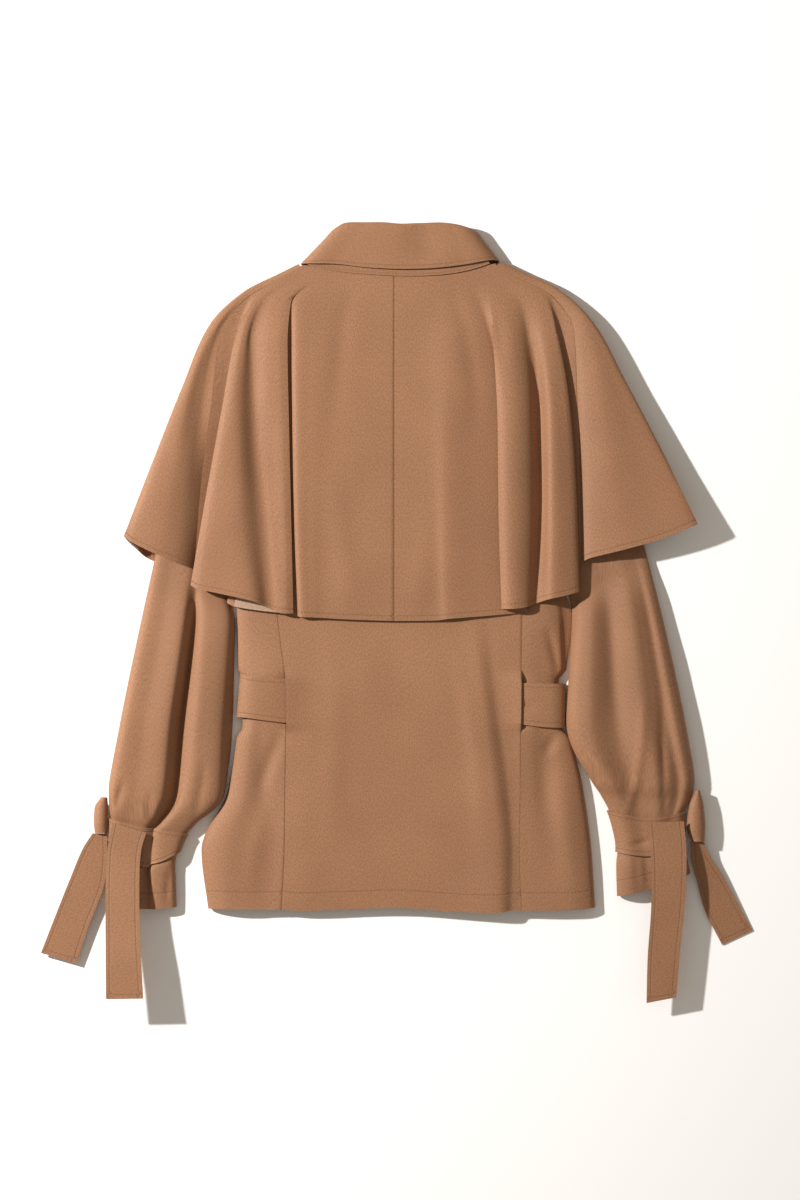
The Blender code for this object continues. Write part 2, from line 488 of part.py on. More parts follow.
def body_panel(name, rows, levels, finish, on_floor=False, cell=0.018):
    lines = np.stack([body_line(row, levels, on_floor) for row in rows])
    stations = np.arange(len(levels), dtype=float)
    return cloth(name, net(lines, stations, stations, cell=cell), finish)


TOP_LEVELS = [270, 271.2, 274.5, 278.5, 320, 400]
PANEL_LEVELS = np.array(
    [*TOP_LEVELS, 480, 560, 588, 617, 640, 662, 671, 680, 701, 723, 731, 742, 765, 790,
     820, 850, 880, 910.0]
)


# ---------------------------------------------------------------- the belt

BELT = table("top_u top_v bottom_u bottom_v z", """
front_left   392.0 678.0  392.0 722.0   0.8
under_left   262.0 676.6  262.0 719.6   0.8
round_left   246.0 674.8  242.0 718.0   0.8
low_left     241.6 674.0  237.8 717.2   2.4
fold_left    240.5 673.7  236.8 716.8   6.5
high_left    241.2 673.8  237.6 716.9  11.6
over_left    248.5 675.6  246.5 717.8  16.4
side_left    266.0 677.6  265.5 720.4  16.9
slot_left    286.8 678.8  287.6 722.9  14.7
in_left      300.0 679.6  300.0 723.6  11.4
hidden_left  345.0 681.0  345.0 724.6  10.6
hidden_right 460.0 683.0  460.0 726.0  10.6
in_right     508.0 683.4  508.0 725.0  11.0
slot_right   521.8 683.0  521.2 724.6  14.7
side_right   543.0 683.4  543.0 727.0  16.2
over_right   556.5 683.7  556.1 727.7  15.2
high_right   564.6 684.0  564.2 728.0  11.0
fold_right   565.6 684.0  565.2 728.0   6.2
low_right    564.2 684.0  563.8 728.0   2.2
round_right  559.5 683.6  559.0 727.6   0.8
under_right  545.0 681.6  545.0 725.8   0.8
front_right  397.0 678.0  397.0 722.0   0.8
""")


def strip(name, rows, finish, ends, stations=5, cell=CELL):
    """A strip whose rows go along it; `ends` names the columns of its two edges."""
    first, second = ends
    lines = []
    for row in rows:
        a = spot(row[first + "_u"], row[first + "_v"], row["z"])
        b = spot(row[second + "_u"], row[second + "_v"], row["z"])
        lines.append([a, b])
    at = np.linspace(0, 1, stations)
    return cloth(name, net(np.array(lines), (0.0, 1.0), at, cell=cell), finish)


# ---------------------------------------------------------------- the sleeves

# Each station gives the sleeve's outer and inner edge, the height of its under and upper layer, how
# far its middle bows down, the part of its deep folds and how far its under layer is tucked in
# toward the body. The first one lies along the armhole.
SLEEVE_COLUMNS = "outer_u outer_v inner_u inner_v low top bow fold tuck"
SLEEVE_LEFT = table(SLEEVE_COLUMNS, """
armhole     227.6 321.5  239.9 558.5   3.0   9.0   0  0.0   0
head        209.0 366.0  236.0 573.0   3.0   9.6   0  0.1   0
upper_arm   174.0 470.0  231.5 589.0   3.0  10.0   0  0.2   1
under_cape  155.6 556.0  226.8 598.0   3.0  11.0   0  0.3   5
below_cape  142.3 617.0  232.6 624.0   0.8  21.0   0  0.9   4
elbow       120.3 723.7  227.0 724.0   0.8  27.0   0  1.0   8
forearm     109.0 790.0  223.0 795.0   0.8  25.0   4  1.0   2
gathered    110.0 812.0  196.0 823.0   0.8  20.0   4  0.8   0
band_top    111.0 820.0  184.5 836.0   2.7  17.0   2  0.5   0
band_foot   111.0 851.0  179.5 847.0   2.7  16.0  15  0.5   0
below_band  110.0 872.0  174.5 865.0   0.8  18.0   4  0.6   0
hem         109.5 903.0  176.0 907.0   0.8  15.0   4  0.3   0
""")
SLEEVE_RIGHT = table(SLEEVE_COLUMNS, """
armhole     565.7 319.0  554.0 558.5   3.0   9.0   0  0.0   0
head        590.0 366.0  560.0 573.0   3.0   9.6   0  0.1   0
upper_arm   625.0 470.0  568.0 589.0   3.0  10.0   0  0.2   3
under_cape  645.5 552.0  576.5 599.0   3.0  10.6   0  0.3   8
below_cape  660.5 610.0  575.0 620.0   0.8  20.0   0  0.8   5
elbow       685.0 722.0  567.0 722.0   0.8  26.0   0  1.0   0
forearm     694.3 780.0  590.0 777.5   0.8  24.0   4  1.0   0
gathered    690.0 800.0  602.0 796.0   0.8  18.5   3  0.8   0
band_top    683.0 816.0  611.5 815.0   2.7  16.0   8  0.5   0
band_foot   683.0 846.0  618.5 847.0   2.7  15.0   6  0.5   0
below_band  687.0 860.0  617.0 866.0   0.8  16.5   3  0.6   0
hem         690.3 874.0  617.8 896.5   0.8  14.0   3  0.3   0
""")

ARMHOLE_GAP = 0.7
UNDERARM_GAP = 0.9
UNDERARM_FROM = 0.6
UPPER_LAYER = 0.3
LOWER_BOW = 0.35
TUCKED_ROW = "inner_low"

# Round the sleeve: the place across it, the height between the layers, the part of the fold and how
# many pieces the net has from here to the next row.
RING_COLUMNS = "across rise fold pieces"
RING_LEFT = table(RING_COLUMNS, """
outer_edge  0.00 0.42 0.00 1
outer_top   0.04 0.93 0.00 2
crest       0.24 0.97 0.00 2
lip         0.46 0.99 0.00 1
fold_wall   0.51 0.93 0.24 1
fold_floor  0.57 0.88 0.56 1
second_lip  0.65 0.82 0.04 2
second_top  0.80 0.82 0.00 2
inner_top   0.95 0.66 0.00 1
inner_edge  1.00 0.38 0.00 1
inner_low   0.97 0.00 0.00 1
under_inner 0.70 0.00 0.00 1
under_mid   0.45 0.00 0.00 2
under_outer 0.20 0.00 0.00 1
outer_low   0.05 0.00 0.00 1
""")
RING_RIGHT = table(RING_COLUMNS, """
outer_edge  0.00 0.42 0.00 1
outer_top   0.04 0.62 0.00 1
ridge       0.09 0.73 0.00 1
valley      0.15 0.76 0.12 1
valley_side 0.24 0.84 0.05 1
crest       0.34 0.93 0.00 2
trough      0.60 0.88 0.14 2
second_top  0.82 1.00 0.00 2
inner_top   0.95 0.78 0.00 1
inner_edge  1.00 0.40 0.00 1
inner_low   0.97 0.00 0.00 1
under_inner 0.70 0.00 0.00 1
under_mid   0.45 0.00 0.00 2
under_outer 0.20 0.00 0.00 1
outer_low   0.05 0.00 0.00 1
""")


def armhole(side_rows, share):
    """The armhole edge of the side back panel, share 0 at the shoulder and 1 at the underarm."""
    under = side_rows[-1]
    v = under["top_v"] + share * (UNDERARM - under["top_v"])
    knots = [under["top_v"], BODY_LEVELS[0], UNDERARM]
    return np.interp(v, knots, [under["top_u"], under["u400"], under["u560"]]), v


def sleeve_lines(stations, ring, side_rows, away):
    """One line for each row of the ring, from the armhole to the hem."""
    lines = []
    for row in ring:
        places = []
        for station in stations:
            f = row["across"]
            if station["name"] == "armhole":
                u, v = armhole(side_rows, f)
                near = np.clip((f - UNDERARM_FROM) / (1 - UNDERARM_FROM), 0, 1)
                u = u + away * (ARMHOLE_GAP + UNDERARM_GAP * near)
            else:
                u = station["outer_u"] + f * (station["inner_u"] - station["outer_u"])
                v = station["outer_v"] + f * (station["inner_v"] - station["outer_v"])
                part_of_bow = 1 if row["rise"] > UPPER_LAYER else LOWER_BOW
                v = v + station["bow"] * 4 * f * (1 - f) * part_of_bow
            if row["name"] == TUCKED_ROW:
                u = u - away * station["tuck"]
            rise = row["rise"] - row["fold"] * station["fold"]
            z = station["low"] + rise * (station["top"] - station["low"])
            places.append(spot(u, v, z))
        lines.append(places)
    return np.array(lines)


BAND_AIR = 0.0006
BAND_LIFT = PLY * MM + BAND_AIR
BAND_BETWEEN = (7.5, 9.5)
SLEEVE_AT = (0, 1, 2, 2.6, 3, 3.5, 4, 5, 6, 6.6, 7, 7.5, 8, 8.5, 9, 9.5, 10, 11)


def ring_net(lines, ring, at):
    """A closed net through the sleeve's lines, at these stations."""
    stations = np.arange(lines.shape[1], dtype=float)
    pieces = [int(row["pieces"]) for row in ring]
    return net(lines, stations, np.array(at, float), closed=True, counts=pieces)


def cuff_band(name, lines, ring, finish):
    """The tie where it goes round the sleeve: the sleeve's own points between two stations, moved
    out by one ply."""
    grid = ring_net(lines, ring, np.linspace(*BAND_BETWEEN, 5))
    normal = facing(grid, closed=True)
    middle = grid.mean(axis=0, keepdims=True)
    outward = np.sign(np.sum(normal * (grid - middle)))
    grid = grid + normal * outward * BAND_LIFT
    grid = grid[:, 1:4]
    grid[..., 2] = np.maximum(grid[..., 2], FLOOR_Z * MM)
    return cloth(name, grid, finish, closed=True)


TAIL_COLUMNS = "left_u left_v right_u right_v z"
TIE_TAILS = {
    "tie_tail_left_straight": table(TAIL_COLUMNS, """
root   113.0 822.5  146.5 832.5  21.6
near   107.6 852.0  141.4 851.0  22.6
middle 106.3 905.0  140.0 908.0  29.0
lower  106.7 951.0  141.6 951.0  35.0
end    107.3 997.5  144.4 997.0  39.5
"""),
    "tie_tail_left_slanted": table(TAIL_COLUMNS, """
root   92.5 833.5  107.0 833.6  12.0
near   83.0 848.0  107.0 858.5  10.5
middle 70.0 878.5  104.5 883.0   9.0
lower  53.5 920.0   89.0 925.0   8.0
end    40.5 953.3   75.9 963.6   7.0
"""),
    "tie_tail_right_straight": table(TAIL_COLUMNS, """
root   648.0 823.0  683.5 821.0  20.2
near   650.6 854.6  686.0 848.0  20.6
middle 651.0 905.0  684.8 900.0  21.0
lower  647.4 957.0  679.7 951.0  20.5
end    646.3 1002.7 675.9 997.0  19.5
"""),
    "tie_tail_right_slanted": table(TAIL_COLUMNS, """
root   690.5 842.0  703.8 842.0  10.5
near   692.0 863.0  711.0 857.5   7.5
middle 697.5 882.0  724.0 877.5   4.5
lower  705.5 911.0  738.0 903.0   2.6
end    722.8 945.5  753.2 931.2   0.8
"""),
}

# The knot: the tie folded round its own tails, a short flattened tube.
KNOT_STEP = 30
KNOT_SECTIONS = 7
KNOT_COLUMNS = "u v z half_width half_height"
KNOTS = {
    "cuff_knot_left": table(KNOT_COLUMNS, """
top    104.0 797.5  12.0  2.6 4.0
upper  101.2 808.0  12.0  6.2 6.2
lower  100.8 822.0  12.0  6.6 7.0
foot   101.3 833.0  12.0  6.0 5.6
"""),
    "cuff_knot_right": table(KNOT_COLUMNS, """
top    698.0 790.5  10.5  1.6 3.2
upper  696.6 806.0  10.5  6.6 6.0
lower  696.2 827.0  10.5  8.8 7.0
foot   698.5 841.5  10.5  5.8 5.4
"""),
}


def knot(name, rows, finish):
    turn = np.radians(np.arange(0, 360, KNOT_STEP))
    lines = []
    for angle in turn:
        line = [
            spot(
                row["u"] + row["half_width"] * np.cos(angle),
                row["v"],
                row["z"] + row["half_height"] * np.sin(angle),
            )
            for row in rows
        ]
        lines.append(line)
    stations = np.arange(len(rows), dtype=float)
    at = np.linspace(0, stations[-1], KNOT_SECTIONS)
    grid = net(np.array(lines), stations, at, closed=True)
    return cloth(name, grid, finish, closed=True)


def build():
    clear_scene()
    gabardine = material("gabardine", FABRIC, 0.62)
    satin = material("lining_satin", LINING, 0.4)

    cloth("cape_back_left", cape_net(CAPE_BACK_LEFT), gabardine)
    cloth("cape_back_right", cape_net(CAPE_BACK_RIGHT), gabardine)
    cloth("cape_front_left", cape_net(CAPE_FRONT_LEFT), gabardine)
    cloth("cape_front_right", cape_net(CAPE_FRONT_RIGHT), gabardine)
    lining_patch("cape_lining_flare", CAPE_BACK_LEFT, "middle_end", "middle", 0.05, satin)
    lining_patch("cape_lining_corner", CAPE_FRONT_LEFT, "under_rim", "under_fall", 0.06, satin)
    cape_binding(gabardine)
    collar(gabardine)

    body_panel("back_centre", BACK_CENTRE, PANEL_LEVELS, gabardine, cell=0.022)
    body_panel("back_side_left", BACK_SIDE_LEFT, PANEL_LEVELS, gabardine, cell=0.03)
    body_panel("back_side_right", BACK_SIDE_RIGHT, PANEL_LEVELS, gabardine, cell=0.03)
    body_panel("front_left", FRONT_LEFT, PANEL_LEVELS, gabardine, on_floor=True, cell=0.06)
    body_panel("front_right", FRONT_RIGHT, PANEL_LEVELS, gabardine, on_floor=True, cell=0.06)
    strip("belt", BELT, gabardine, ("top", "bottom"), stations=3, cell=0.02)

    for side, stations, ring, side_rows, away in (
        ("left", SLEEVE_LEFT, RING_LEFT, BACK_SIDE_LEFT, -1),
        ("right", SLEEVE_RIGHT, RING_RIGHT, BACK_SIDE_RIGHT, 1),
    ):
        lines = sleeve_lines(stations, ring, side_rows, away)
        cloth(f"sleeve_{side}", ring_net(lines, ring, SLEEVE_AT), gabardine, closed=True)
        cuff_band(f"cuff_band_{side}", lines, ring, gabardine)

    for name, rows in KNOTS.items():
        knot(name, rows, gabardine)
    for name, rows in TIE_TAILS.items():
        strip(name, rows, gabardine, ("left", "right"), stations=4, cell=0.016)


build()
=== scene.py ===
"""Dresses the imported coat: thin cloth over each solid, worked out from tables of fold lines, with
creases, seams, rows of stitches and cloth materials, on a white floor in hard light from one side.

Places in the tables are read in steps of STEP metres: `u` counts them across from the left and `v`
down from the top. Heights are in millimetres above the surface, to the middle of the cloth.
"""

import bpy
import numpy as np
from mathutils import Matrix, Vector, noise

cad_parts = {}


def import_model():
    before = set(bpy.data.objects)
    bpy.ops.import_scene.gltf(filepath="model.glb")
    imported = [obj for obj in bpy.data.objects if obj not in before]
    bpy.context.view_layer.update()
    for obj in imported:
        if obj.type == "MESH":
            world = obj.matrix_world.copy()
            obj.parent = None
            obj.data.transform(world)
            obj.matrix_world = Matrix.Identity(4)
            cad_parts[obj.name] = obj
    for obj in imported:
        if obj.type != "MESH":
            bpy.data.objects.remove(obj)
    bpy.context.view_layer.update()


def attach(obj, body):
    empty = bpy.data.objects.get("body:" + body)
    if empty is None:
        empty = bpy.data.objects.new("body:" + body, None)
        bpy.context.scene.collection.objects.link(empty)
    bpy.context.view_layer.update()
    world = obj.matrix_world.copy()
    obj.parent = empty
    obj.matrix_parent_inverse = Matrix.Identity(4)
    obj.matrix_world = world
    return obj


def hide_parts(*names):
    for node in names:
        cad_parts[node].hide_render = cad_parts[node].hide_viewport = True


STEP = 0.00105
CENTRE_U = 396.8
CENTRE_V = 612.1
MM = 0.001

# One ply of the solids, and the air between two of them.
CLOTH = 0.0016
SEAM = 0.0003
PLY = (CLOTH + SEAM) / MM
FLOOR_Z = CLOTH / MM / 2

# The cloth that shows, and how close together its points lie.
SHELL = 0.0013
CELL = 0.0045

# The lining, how far inside the cape it lies from middle to middle, and where it ends at the hem.
LINING_CLOTH = 0.001
LINING_AIR = 2.5 * SEAM
LINING_RISE = (CLOTH + LINING_CLOTH) / 2 + LINING_AIR
LINING_HEM = 0.999


def table(columns, text):
    """Rows of named numbers: the first word of each line is the row's name."""
    names = columns.split()
    rows = []
    for line in text.strip().splitlines():
        words = line.split()
        assert len(words) == len(names) + 1, line
        rows.append(dict(zip(names, map(float, words[1:]), strict=True), name=words[0]))
    return rows


def spot(u, v, z):
    """A place in the tables, in metres."""
    return np.stack(
        np.broadcast_arrays((u - CENTRE_U) * STEP, (CENTRE_V - v) * STEP, z * MM), axis=-1
    ).astype(float)


def ease(places, values, at):
    """A curve through the values that never swings past them (monotone cubic)."""
    places = np.asarray(places, float)
    values = np.asarray(values, float)
    step = np.diff(places)
    slope = np.diff(values) / step
    bend = np.zeros_like(values)
    bend[0], bend[-1] = slope[0], slope[-1]
    for k in range(1, len(values) - 1):
        before, after = slope[k - 1], slope[k]
        if before * after > 0:
            near, far = 2 * step[k] + step[k - 1], step[k] + 2 * step[k - 1]
            bend[k] = (near + far) / (near / before + far / after)
    k = np.clip(np.searchsorted(places, at, side="right") - 1, 0, len(places) - 2)
    w = (at - places[k]) / step[k]
    start = values[k] * (1 + 2 * w) + bend[k] * step[k] * w
    end = values[k + 1] * (3 - 2 * w) + bend[k + 1] * step[k] * (w - 1)
    return start * (1 - w) ** 2 + end * w**2


def through(points, counts, closed=False):
    """A smooth curve through the points, with counts[k] pieces between points k and k + 1."""
    points = np.asarray(points, float)
    if closed:
        points = np.vstack([points[-1:], points, points[:2]])
    gap = np.sqrt(np.linalg.norm(np.diff(points, axis=0), axis=1) + 1e-9)
    knots = np.concatenate([[0], np.cumsum(gap)])
    bend = np.gradient(points, knots, axis=0)
    first = 1 if closed else 0
    out = []
    for k, count in enumerate(counts):
        a, b, length = first + k, first + k + 1, gap[first + k]
        w = np.arange(count)[:, None] / count
        start = points[a] * (1 + 2 * w) + bend[a] * length * w
        end = points[b] * (3 - 2 * w) + bend[b] * length * (w - 1)
        out.append(start * (1 - w) ** 2 + end * w**2)
    if not closed:
        out.append(points[-1:])
    return np.vstack(out)


def net(lines, stations, at, cell=CELL, closed=False):
    """A grid of points: `lines` holds a row of places for each fold line, one for each station.

    The grid has one section for each value of `at`, and enough points across for the cell size.
    No section dips below its own lowest line.
    """
    lines = np.asarray(lines, float)
    sections = np.stack(
        [
            np.stack([ease(stations, lines[i, :, axis], at) for axis in range(3)], axis=-1)
            for i in range(len(lines))
        ]
    )
    following = np.roll(sections, -1, axis=0) if closed else sections[1:]
    leading = sections if closed else sections[:-1]
    spans = np.linalg.norm(following - leading, axis=2).max(axis=1)
    counts = np.maximum(1, np.round(spans / cell)).astype(int)
    grid = np.stack([through(sections[:, j], counts, closed) for j in range(len(at))], axis=1)
    grid[..., 2] = np.maximum(grid[..., 2], sections[..., 2].min(axis=0))
    return grid


def facing(grid, closed=False):
    """Unit normals of a grid of points."""
    if closed:
        along = np.roll(grid, -1, axis=0) - np.roll(grid, 1, axis=0)
    else:
        along = np.gradient(grid, axis=0)
    normal = np.cross(along, np.gradient(grid, axis=1))
    return normal / np.maximum(np.linalg.norm(normal, axis=2, keepdims=True), 1e-12)


# ---------------------------------------------------------------- the cape

# The shares of the way from the neck to the hem that the columns stand at. The second has no
# column: the cape lies level as far as that, under its neck binding.
CAPE_SHARES = (0.0, 0.03, 0.1, 0.22, 0.45, 0.72, 1.0)
CAPE_COLUMNS = "neck_u neck_v u1 u2 u3 u4 hem_u hem_v z0 z1 z2 z3 z4 z5"

# From the centre back seam to the seam beside the left front, one row for each fold line.
CAPE_BACK_LEFT = table(CAPE_COLUMNS, """
seam        394.6 271.5  394.6 394.6 394.6 394.6  394.6 621.0   11.7 12.3 13.8 16.3 16.8 15.0
flat_inner  372.0 271.2  368.0 365.0 360.0 356.0  352.0 619.6   11.7 12.4 14.1 17.2 17.4 15.5
flat_outer  354.0 270.6  343.0 338.0 332.0 327.0  323.0 618.0   11.7 12.8 15.2 18.0 18.0 16.0
rise        340.0 270.1  316.0 311.0 309.0 309.0  312.0 617.4   11.7 13.3 17.0 19.6 19.5 17.4
slit_crest  332.0 269.7  296.0 293.8 294.4 296.2  300.4 617.0   11.7 13.6 17.0 19.4 19.4 17.8
slit_wall   330.5 269.6  293.4 291.8 292.2 293.8  297.6 616.0   11.7 13.1 14.0 14.2 14.2 14.0
slit_floor  329.0 269.5  291.6 289.5 287.5 287.0  286.0 614.8   11.7 12.6 12.4 12.4 12.4 12.4
lower_end   326.5 269.4  290.8 284.0 274.0 258.0  234.0 606.0   11.7 12.4 12.4 12.4 12.4 12.4
left_turn   324.5 269.2  289.6 279.0 269.0 251.0  227.3 603.0   11.7 12.8 13.6 13.5 13.5 13.5
middle_end  322.5 269.1  289.5 281.6 273.5 257.0  234.0 606.6   11.7 13.2 14.9 14.6 14.6 14.6
middle      320.5 269.0  289.6 284.0 282.5 282.5  284.5 613.4   11.7 13.6 16.4 15.6 15.2 15.0
slit_edge   318.0 268.9  290.2 287.0 288.5 290.6  292.8 613.5   11.7 14.1 18.4 18.9 18.9 18.8
flare_lip   316.0 268.7  285.5 281.2 283.5 286.0  287.5 613.7   11.7 14.5 19.4 19.9 20.2 20.5
flare_ridge 313.5 268.5  274.0 266.0 267.0 272.5  280.5 613.0   11.7 14.4 18.0 18.9 19.6 20.4
trough      311.0 268.3  266.0 254.0 256.5 265.0  273.5 610.6   11.7 13.5 14.4 15.6 17.6 19.0
trough_foot 310.0 268.3  262.6 250.0 251.5 258.5  267.0 607.4   11.7 13.5 14.8 16.4 18.4 20.0
crest_inner 309.2 268.2  259.5 246.0 240.5 243.0  255.0 601.9   11.7 13.9 17.9 23.2 26.6 27.4
crest       308.0 268.2  257.2 241.5 232.0 222.0  217.0 593.0   11.7 14.0 18.8 24.8 28.4 29.2
edge_top    306.8 268.1  255.4 238.5 225.5 210.5  196.5 588.5   11.7 13.9 18.0 23.6 27.3 28.0
edge        305.7 268.0  253.8 236.3 222.3 206.8  191.5 585.5   11.7 13.7 17.5 21.4 25.0 25.6
turn_upper  304.9 268.0  252.4 238.6 228.0 214.0  199.0 582.0   11.7 13.4 15.8 16.8 17.6 17.8
turn        304.2 267.9  251.0 240.2 231.5 218.5  205.0 579.5   11.7 13.1 14.1 14.6 15.0 15.1
turn_lower  303.5 267.9  249.5 237.0 226.0 212.0  199.0 576.5   11.7 12.8 12.4 12.4 12.4 12.4
side_seam   302.9 267.8  248.0 220.6 211.6 201.6  194.6 569.0   11.7 12.8 14.2 15.3 15.4 13.4
""")

# From the centre back seam to the seam beside the right front.
CAPE_BACK_RIGHT = table(CAPE_COLUMNS, """
seam        395.0 271.5  395.0 395.0 395.0 395.0  395.0 621.0   11.7 12.3 13.8 16.3 16.8 15.0
flat_inner  418.0 271.3  420.0 424.0 430.0 434.0  438.0 620.3   11.7 12.5 14.4 17.4 17.5 15.5
flat_outer  437.0 270.6  447.0 450.0 447.0 446.0  448.0 619.0   11.7 13.2 16.4 19.4 19.6 17.5
slope       450.2 269.8  466.0 474.0 476.0 476.0  480.0 616.4   11.7 13.3 15.2 16.6 16.6 15.0
lower       457.3 269.3  475.0 488.5 498.0 500.0  502.5 614.5   11.7 12.9 13.4 14.2 14.4 13.6
lower_end   461.3 269.0  479.5 493.5 510.0 516.0  520.0 613.0   11.7 12.6 12.4 13.0 13.2 12.4
right_turn  463.8 268.9  482.5 496.5 515.5 522.0  527.0 612.0   11.7 12.8 13.7 14.3 14.3 14.3
middle_end  466.2 268.8  484.8 495.2 511.0 516.0  520.0 611.3   11.7 13.2 15.3 16.4 16.4 16.2
middle      468.3 268.7  486.8 494.2 502.0 503.5  506.0 610.4   11.7 13.6 16.6 17.0 17.0 16.7
flute_edge  470.5 268.6  488.8 493.6 498.0 499.0  502.0 609.0   11.7 14.0 18.6 19.4 19.4 18.9
flute_lip   473.0 268.4  492.0 499.0 503.5 505.0  507.5 609.0   11.7 14.4 18.8 23.4 24.2 23.4
flute_top   478.5 267.9  504.0 511.0 516.0 517.0  516.0 608.6   11.7 14.6 19.4 24.0 24.8 24.0
flute_fall  480.8 267.7  514.5 522.5 528.5 529.4  527.6 606.8   11.7 13.8 16.2 19.6 20.2 19.8
trough      482.8 267.5  520.5 529.5 537.5 539.0  535.0 603.8   11.7 13.2 12.5 12.4 12.4 12.6
flare_rise  486.0 267.2  527.0 536.0 543.6 544.8  542.0 601.6   11.7 13.7 15.0 14.6 14.8 16.4
crest       488.6 267.0  537.0 542.0 549.0 550.0  549.0 599.2   11.7 14.3 18.2 24.0 25.8 25.8
edge_top    490.7 266.9  543.5 554.0 561.5 566.0  568.0 594.9   11.7 14.2 18.6 23.0 24.4 24.6
edge        491.9 266.8  546.0 557.5 570.0 576.0  578.6 591.2   11.7 14.0 17.8 20.2 20.4 20.6
turn_upper  492.8 266.7  547.8 556.8 563.5 568.0  570.5 590.0   11.7 13.6 16.6 16.8 17.6 17.6
turn        493.6 266.6  549.4 556.4 560.5 564.5  565.5 588.5   11.7 13.2 14.3 14.2 15.0 15.1
turn_lower  494.4 266.5  551.0 561.0 565.0 570.0  572.5 587.0   11.7 12.8 12.4 12.4 12.4 12.4
side_seam   495.2 266.4  552.6 574.3 577.4 580.0  581.2 562.5   11.7 12.8 15.0 13.6 13.0 13.0
""")

# Round the left shoulder fold to the front, which lies underneath.
CAPE_FRONT_LEFT = table(CAPE_COLUMNS, """
side_seam   301.9 267.0  246.0 220.0 211.2 201.2  194.2 568.8   11.7 12.8 14.2 15.3 15.4 13.4
dip         301.0 266.3  245.5 217.6 203.5 194.0  188.5 566.9   11.6 12.8 15.0 15.2 20.0 18.6
slope       300.2 265.6  245.2 215.3 196.5 186.0  178.5 562.8   11.3 12.8 16.4 17.8 24.4 24.8
crest       299.4 265.0  245.0 213.5 188.0 172.0  157.0 554.3   10.8 12.6 16.6 21.2 28.0 30.4
rim         298.7 264.5  244.9 211.0 183.0 154.8  129.5 540.6   10.0 12.2 15.0 18.5 25.6 30.4
outline     298.2 264.2  244.5 210.3 182.7 153.9  124.9 536.6    8.8 10.6 11.5 13.5 20.0 28.6
under_rim   298.4 265.8  245.4 211.3 184.0 155.5  128.2 541.0    7.2  8.0  7.8  9.0 15.0 25.0
under_fall  299.6 269.6  245.0 212.0 186.5 157.5  137.0 549.5    4.4  4.4  3.4  3.6  6.0 14.0
under_floor 305.0 276.5  246.1 213.6 190.0 163.0  148.5 559.0    0.8  0.8  0.8  0.8  0.8  0.8
under_chest 320.0 287.5  288.0 268.0 252.0 238.0  226.0 585.0    0.8  0.8  0.8  0.8  0.8  0.8
under_inner 334.0 296.0  326.0 322.0 318.0 314.0  310.0 592.0    0.8  0.8  0.8  0.8  0.8  0.8
front_edge  346.0 301.5  345.0 344.0 343.5 343.0  342.0 594.0    0.8  0.8  0.8  0.8  0.8  0.8
""")

# Round the right shoulder fold to the front.
CAPE_FRONT_RIGHT = table(CAPE_COLUMNS, """
side_seam   495.9 266.2  553.5 574.8 578.0 580.7  581.6 562.3   11.7 12.8 15.0 13.6 13.0 13.0
slope       497.4 265.2  554.5 579.0 583.6 587.4  589.0 558.6   11.6 13.0 16.8 17.8 18.3 18.7
crest       498.8 264.2  555.5 584.6 600.5 609.0  623.0 550.0   11.4 13.2 18.0 22.0 24.0 25.8
flat        500.0 263.3  556.1 588.0 615.5 642.0  663.0 538.6   11.0 13.0 17.8 20.8 23.0 27.8
rim         501.0 262.5  556.2 590.2 624.4 660.0  689.0 527.8   10.2 12.2 16.6 18.6 22.0 29.0
outline     501.5 262.0  556.5 590.9 624.5 661.2  696.6 524.4    8.7 10.4 13.4 16.0 20.6 28.2
under_rim   501.0 263.8  555.6 589.5 622.6 658.6  692.5 525.4    6.9  7.8  9.6 11.6 15.8 25.0
under_fall  499.0 268.0  554.7 587.4 619.0 652.0  681.0 530.4    4.2  4.2  4.4  5.0  7.4 14.5
under_floor 492.0 279.0  558.0 585.0 610.0 637.0  662.0 538.0    0.8  0.8  0.8  0.8  0.8  0.8
under_chest 477.0 288.5  515.0 535.0 549.0 560.0  574.0 566.0    0.8  0.8  0.8  0.8  0.8  0.8
under_inner 462.0 296.5  478.0 486.0 492.0 496.0  500.0 590.0    0.8  0.8  0.8  0.8  0.8  0.8
front_edge  450.0 301.5  451.0 452.0 453.0 454.0  455.0 594.0    0.8  0.8  0.8  0.8  0.8  0.8
""")


def cape_lines(rows):
    """Each row's places, from its neck end to its hem end."""
    lines = []
    for row in rows:
        u = [row["neck_u"], row["u1"], row["u2"], row["u3"], row["u4"], row["hem_u"]]
        u.insert(1, u[0] + (u[1] - u[0]) * CAPE_SHARES[1] / CAPE_SHARES[2])
        v = row["neck_v"] + np.array(CAPE_SHARES) * (row["hem_v"] - row["neck_v"])
        z = [row["z0"], *(row[f"z{k}"] for k in range(6))]
        lines.append(spot(np.array(u), v, np.array(z)))
    return np.stack(lines)


# The binding covers the cape's neck edge, from shoulder to shoulder.
BINDING = table("inner_u inner_v outer_u outer_v z", """
left        313.5 258.0  307.5 264.8  13.6
left_mid    330.0 260.0  325.0 268.9  13.6
left_back   350.0 262.5  346.0 272.3  13.6
back_left   372.0 264.0  371.0 274.3  13.6
centre      398.0 265.0  398.0 275.7  13.6
back_right  423.0 265.0  424.5 275.7  13.6
right_back  444.0 263.3  448.0 273.9  13.6
right_mid   463.0 259.6  470.5 269.7  13.6
right       482.0 254.5  490.0 263.4  13.6
""")


# ---------------------------------------------------------------- the collar

